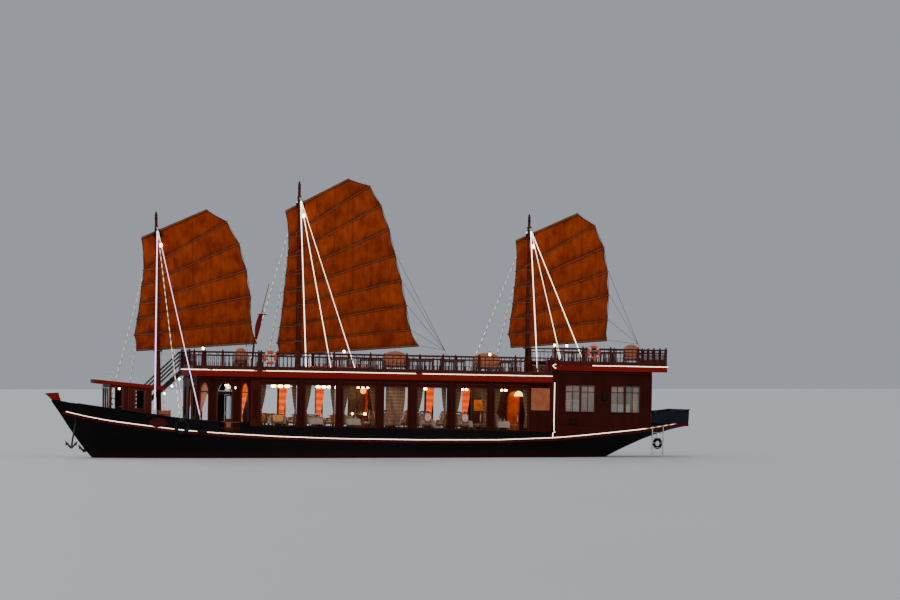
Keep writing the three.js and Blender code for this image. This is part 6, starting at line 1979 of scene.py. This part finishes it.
windlass = {"x": 13.95, "cheek": 0.42, "half": 0.46, "drum": 0.62, "axis": 0.34}
bitts = {
    "fore": ((12.55, 1.95), (12.20, 2.0), (10.05, 2.30)),
    "aft": (-14.35, -14.70),
    "aftOut": 2.0,
    "aftDeck": 2.0,
}
crateAt = (10.55, 1.72)


def makeForedeckGear():
    # a windlass, mooring bitts and an orange crate
    deck = lambda x: mainDeck + deckRise * max(x - foreDeckAft, 0)
    # the windlass is a barrel between two cheeks and a drum outside each
    x, half, drum = windlass["x"], windlass["half"], windlass["drum"]
    z = deck(x)
    rows = [(x, side * windlass["cheek"], z + 0.24, 0.34, 0.07, 0.48) for side in signs]
    axis = z + windlass["axis"]
    barrel = [tube((x, y0, axis), (x, y1, axis), radius, 14)
              for y0, y1, radius in ((-half, half, 0.085), (-drum, -half, 0.10), (half, drum, 0.10))]
    bevelled(addPiece("windlass_cheeks", boxes(rows), oxblood, "red_paint"), 0.012)
    addPiece("windlass_barrel", joined(barrel), iron, "iron", smooth=45)
    bitt = lathe([(0.10, 0.0), (0.10, 0.02), (0.065, 0.03), (0.065, 0.26), (0.095, 0.28), (0.095, 0.33),
                  (0.03, 0.35)], 14)
    spots = [(bx, s * by, deck(bx)) for s in signs for bx, by in bitts["fore"]]
    spots += [(bx, s * bitts["aftOut"], bitts["aftDeck"]) for s in signs for bx in bitts["aft"]]
    addPiece("mooring_bitts", copies(bitt, spots), iron, "iron", smooth=45)
    x, y = crateAt
    crate = boxes([(x, y, deck(x) + 0.47, 0.60, 0.45, 0.92)])
    addModifier(addPiece("deck_crate", crate, orangePaint, "red_paint"), "BEVEL", width=0.03, segments=3)
    band = boxes([(x, y, deck(x) + z0, 0.62, 0.47, 0.03) for z0 in (0.14, 0.72)])
    addPiece("deck_crate_bands", band, darkLacquer, "iron")


wale = {"at": (10.94, 1.545), "halves": (0.44, 0.20)}
foreTyre = {"pixel": 184.5, "z": 1.36, "ring": 0.30, "thick": 0.085}
aftTyre = {"at": (-14.28, 2.30, 0.95), "ring": 0.19, "thick": 0.080}


def makeHullGear():
    # tyres and roll fenders hung on the topsides
    x = atPixel(foreTyre["pixel"], 2.85)
    y = onSkin(x, 3)
    body = torus(foreTyre["ring"], foreTyre["thick"], 30, 10)
    tyres = [(body[0] * (1, 0.8, 1) + (x, side * (y + 0.095), foreTyre["z"]), body[1]) for side in signs]
    body = torus(aftTyre["ring"], aftTyre["thick"], 28, 10)
    tyres.append((body[0] * (0.9, 0.8, 1.1) + aftTyre["at"], body[1]))
    addPiece("hanging_tyres", joined(tyres), rubber, "fender_rubber", smooth=60)
    lines = [tube((x + dx, side * (y + 0.05), onSkin(x, 4) + 0.03), (x + dx * 2, side * (y + 0.12), 1.63),
                  0.012, 6)
             for side in signs for dx in (-0.06, 0.06)]
    lines.append(tube((-14.22, 2.33, 1.80), (-14.22, 2.31, 1.17), 0.012, 6))
    addPiece("tyre_ropes", joined(lines), hemp, "rope", smooth=60)
    rolls = []
    for side in signs:
        x0, x1 = atPixel(200.5, 3.0), atPixel(209.5, 3.0)
        ends = [(x, side * (onSkin(x, 3) + 0.10), 1.15) for x in (x0, x1)]
        rolls.append(tube(ends[0], ends[1], 0.10, 16))
    addPiece("roll_fenders", joined(rolls), rubber, "fender_rubber", smooth=60)
    # an oval wale and the plate inside it, laid on the flare of the bow
    angle = np.linspace(0, 2 * np.pi, 36, endpoint=False)
    x, z = wale["at"]
    long, high = wale["halves"]
    rim = onFlare(x + long * np.cos(angle), z + high * np.sin(angle), 0.02)
    share = np.linspace(0.0, 1.0, 6)[:, None]
    inside = onFlare(x + long * share * np.cos(angle), z + high * share * np.sin(angle), 0.012)
    addPiece("fairlead_wales", bothOf(sweep(ring(0.030, 8), rim, closed=True, up=(0, 1, 0))), oxblood,
             "red_paint", smooth=60)
    plates = addPiece("fairlead_plates", bothOf(gridShape(inside, closeV=True)), oxblood, "red_paint",
                      smooth=60)
    thickened(plates, 0.016)
    # cap rails along the tops of the bulwarks
    caps = []
    capShape = np.array([(-0.075, -0.012), (0.075, -0.012), (0.075, 0.014), (0.055, 0.024), (-0.055, 0.024),
                         (-0.075, 0.014)])
    for side in signs:
        for a, b in ((14.75, 8.0), (-13.98, -15.84)):
            x = alongX(a, b, 0.3)
            line = np.stack([x, onSkin(x, 3) - 0.035, onSkin(x, 4) + 0.014], -1) * (1, side, 1)
            caps.append(sweep(capShape, line))
    across = np.array([(-15.815, y, onSkin(-15.8, 4) + 0.014) for y in np.linspace(-2.44, 2.44, 9)])
    caps.append(sweep(np.array([(-0.12, -0.012), (0.12, -0.012), (0.12, 0.02), (-0.12, 0.02)]), across))
    addPiece("bulwark_caps", joined(caps), hullTrim, "hull_black", smooth=35)


tarp = {"at": (-14.30, 1.55), "halves": (0.30, 0.38), "flat": (0.80, 0.95), "deck": 2.01}


def makeTarp():
    # a tarpaulin over a low heap: a rounded hump with ripples that die away
    (x, y), (long, wide) = tarp["at"], tarp["halves"]
    u, v = np.meshgrid(np.linspace(-1, 1, 26), np.linspace(-1, 1, 22), indexing="ij")
    r = np.minimum(np.hypot(u, v), 1.35)
    z = 0.42 * np.exp(-1.9 * r**3) * (1 + 0.12 * np.sin(7 * u + 3 * v)) + 0.015 * np.sin(11 * u) * np.cos(9 * v)
    points = np.stack([x + long * u, y + wide * v, tarp["deck"] + 1.25 * np.maximum(z, 0.0)], -1)
    cloth = addPiece("deck_tarp", gridShape(points), blueTarp, "flag_cloth",
                     uv=np.stack([u * long, v * wide], -1).reshape(-1, 2), smooth=70)
    thickened(cloth, 0.003, offset=1.0)
    heap = moved(cushion(0.34, 0.44, 0.40, 0.5, 10, 22), (x, y, tarp["deck"] + 0.20))
    addPad("covered_sacks", heap, hemp, slot="rope")


makeWheelhouseTrim()
makeWheel()
makeRoofGear()
makeStairLamps()
makeStemHeadCap()
makeForedeckGear()
makeHullGear()
makeTarp()

# Flag and running rigging
print("stage: flag and running rigging")


flagShape = {"cut": 0.9, "drop": 1.42, "folds": 5, "head": (6.02, 3.30, 7.02), "foot": (6.24, 3.30, 5.76)}


def makeFlag():
    # a flag that hangs furled along its staff, with the staff's ring and cross arm
    cut, drop = flagShape["cut"], flagShape["drop"]
    width = lambda v: 0.10 + 0.17 * np.sin(np.pi * np.clip(v * 0.9 + 0.12, 0, 1))
    middle = lambda v: 0.05 * np.sin(3 * v)
    points, uv = gatheredCloth(width, middle, drop, cut, flagShape["folds"], 2.0)
    t = -points[..., 2] / drop
    head, foot = np.array(flagShape["head"]), np.array(flagShape["foot"])
    line = head + (foot - head) * t[..., None]
    at = line + np.stack([points[..., 0], 0.8 * points[..., 1], np.zeros_like(t)], -1)
    flag = addPiece("furled_flag", gridShape(at), flagCloth, "flag_cloth", uv=uv.reshape(-1, 2), smooth=70)
    thickened(flag, 0.002)
    gear = [tube((5.93, 3.17, 7.15), (5.93, 3.33, 7.15), 0.012, 6),
            lying(torus(0.05, 0.008, 16, 6), (5.93, 3.30, 7.10)), boxes([(5.95, 3.17, 6.98, 0.46, 0.04, 0.04)])]
    addPiece("flag_staff_fittings", joined(gear), darkLacquer, "iron", smooth=50)


def makeSheets():
    # taut sheets from the boom end and the battens down to the deck behind each sail
    ends = {"fore": ((6.60, 2.9, upperDeck + 0.95), 3), "main": ((-3.4, 2.9, upperDeck + 0.95), 4),
            "aft": ((-13.3, 2.4, aftRoof + 0.90), 3)}
    for name, (foot, count) in ends.items():
        rig = rigs[name]
        lean, fx, fz = rig["lean"], rig["foot"][0], rig["foot"][1]
        paths = []
        leeches = list(rig["leech"])[-count:] + [rig["boom"][1]]
        knot = np.array(foot) + (0, -0.6, 0.25)
        for lx, lz in leeches:
            head = np.array((fx + lx * math.cos(lean) + lz * math.sin(lean), 0.0,
                             fz + lz * math.cos(lean) - lx * math.sin(lean)))
            paths.append(head + (knot - head) * np.linspace(0.01, 1, 26)[:, None])
        paths.append(knot + (np.array(foot) - knot) * np.linspace(0, 1, 8)[:, None])
        piece = addTubes(name + "_sheets", paths, 0.009, darkRope, "rope", body=None)
        start, end = toWorld(np.array([paths[-2][0], knot]))
        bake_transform(piece)


makeFlag()
makeSheets()

print("stage: finish")
bpy.context.view_layer.update()
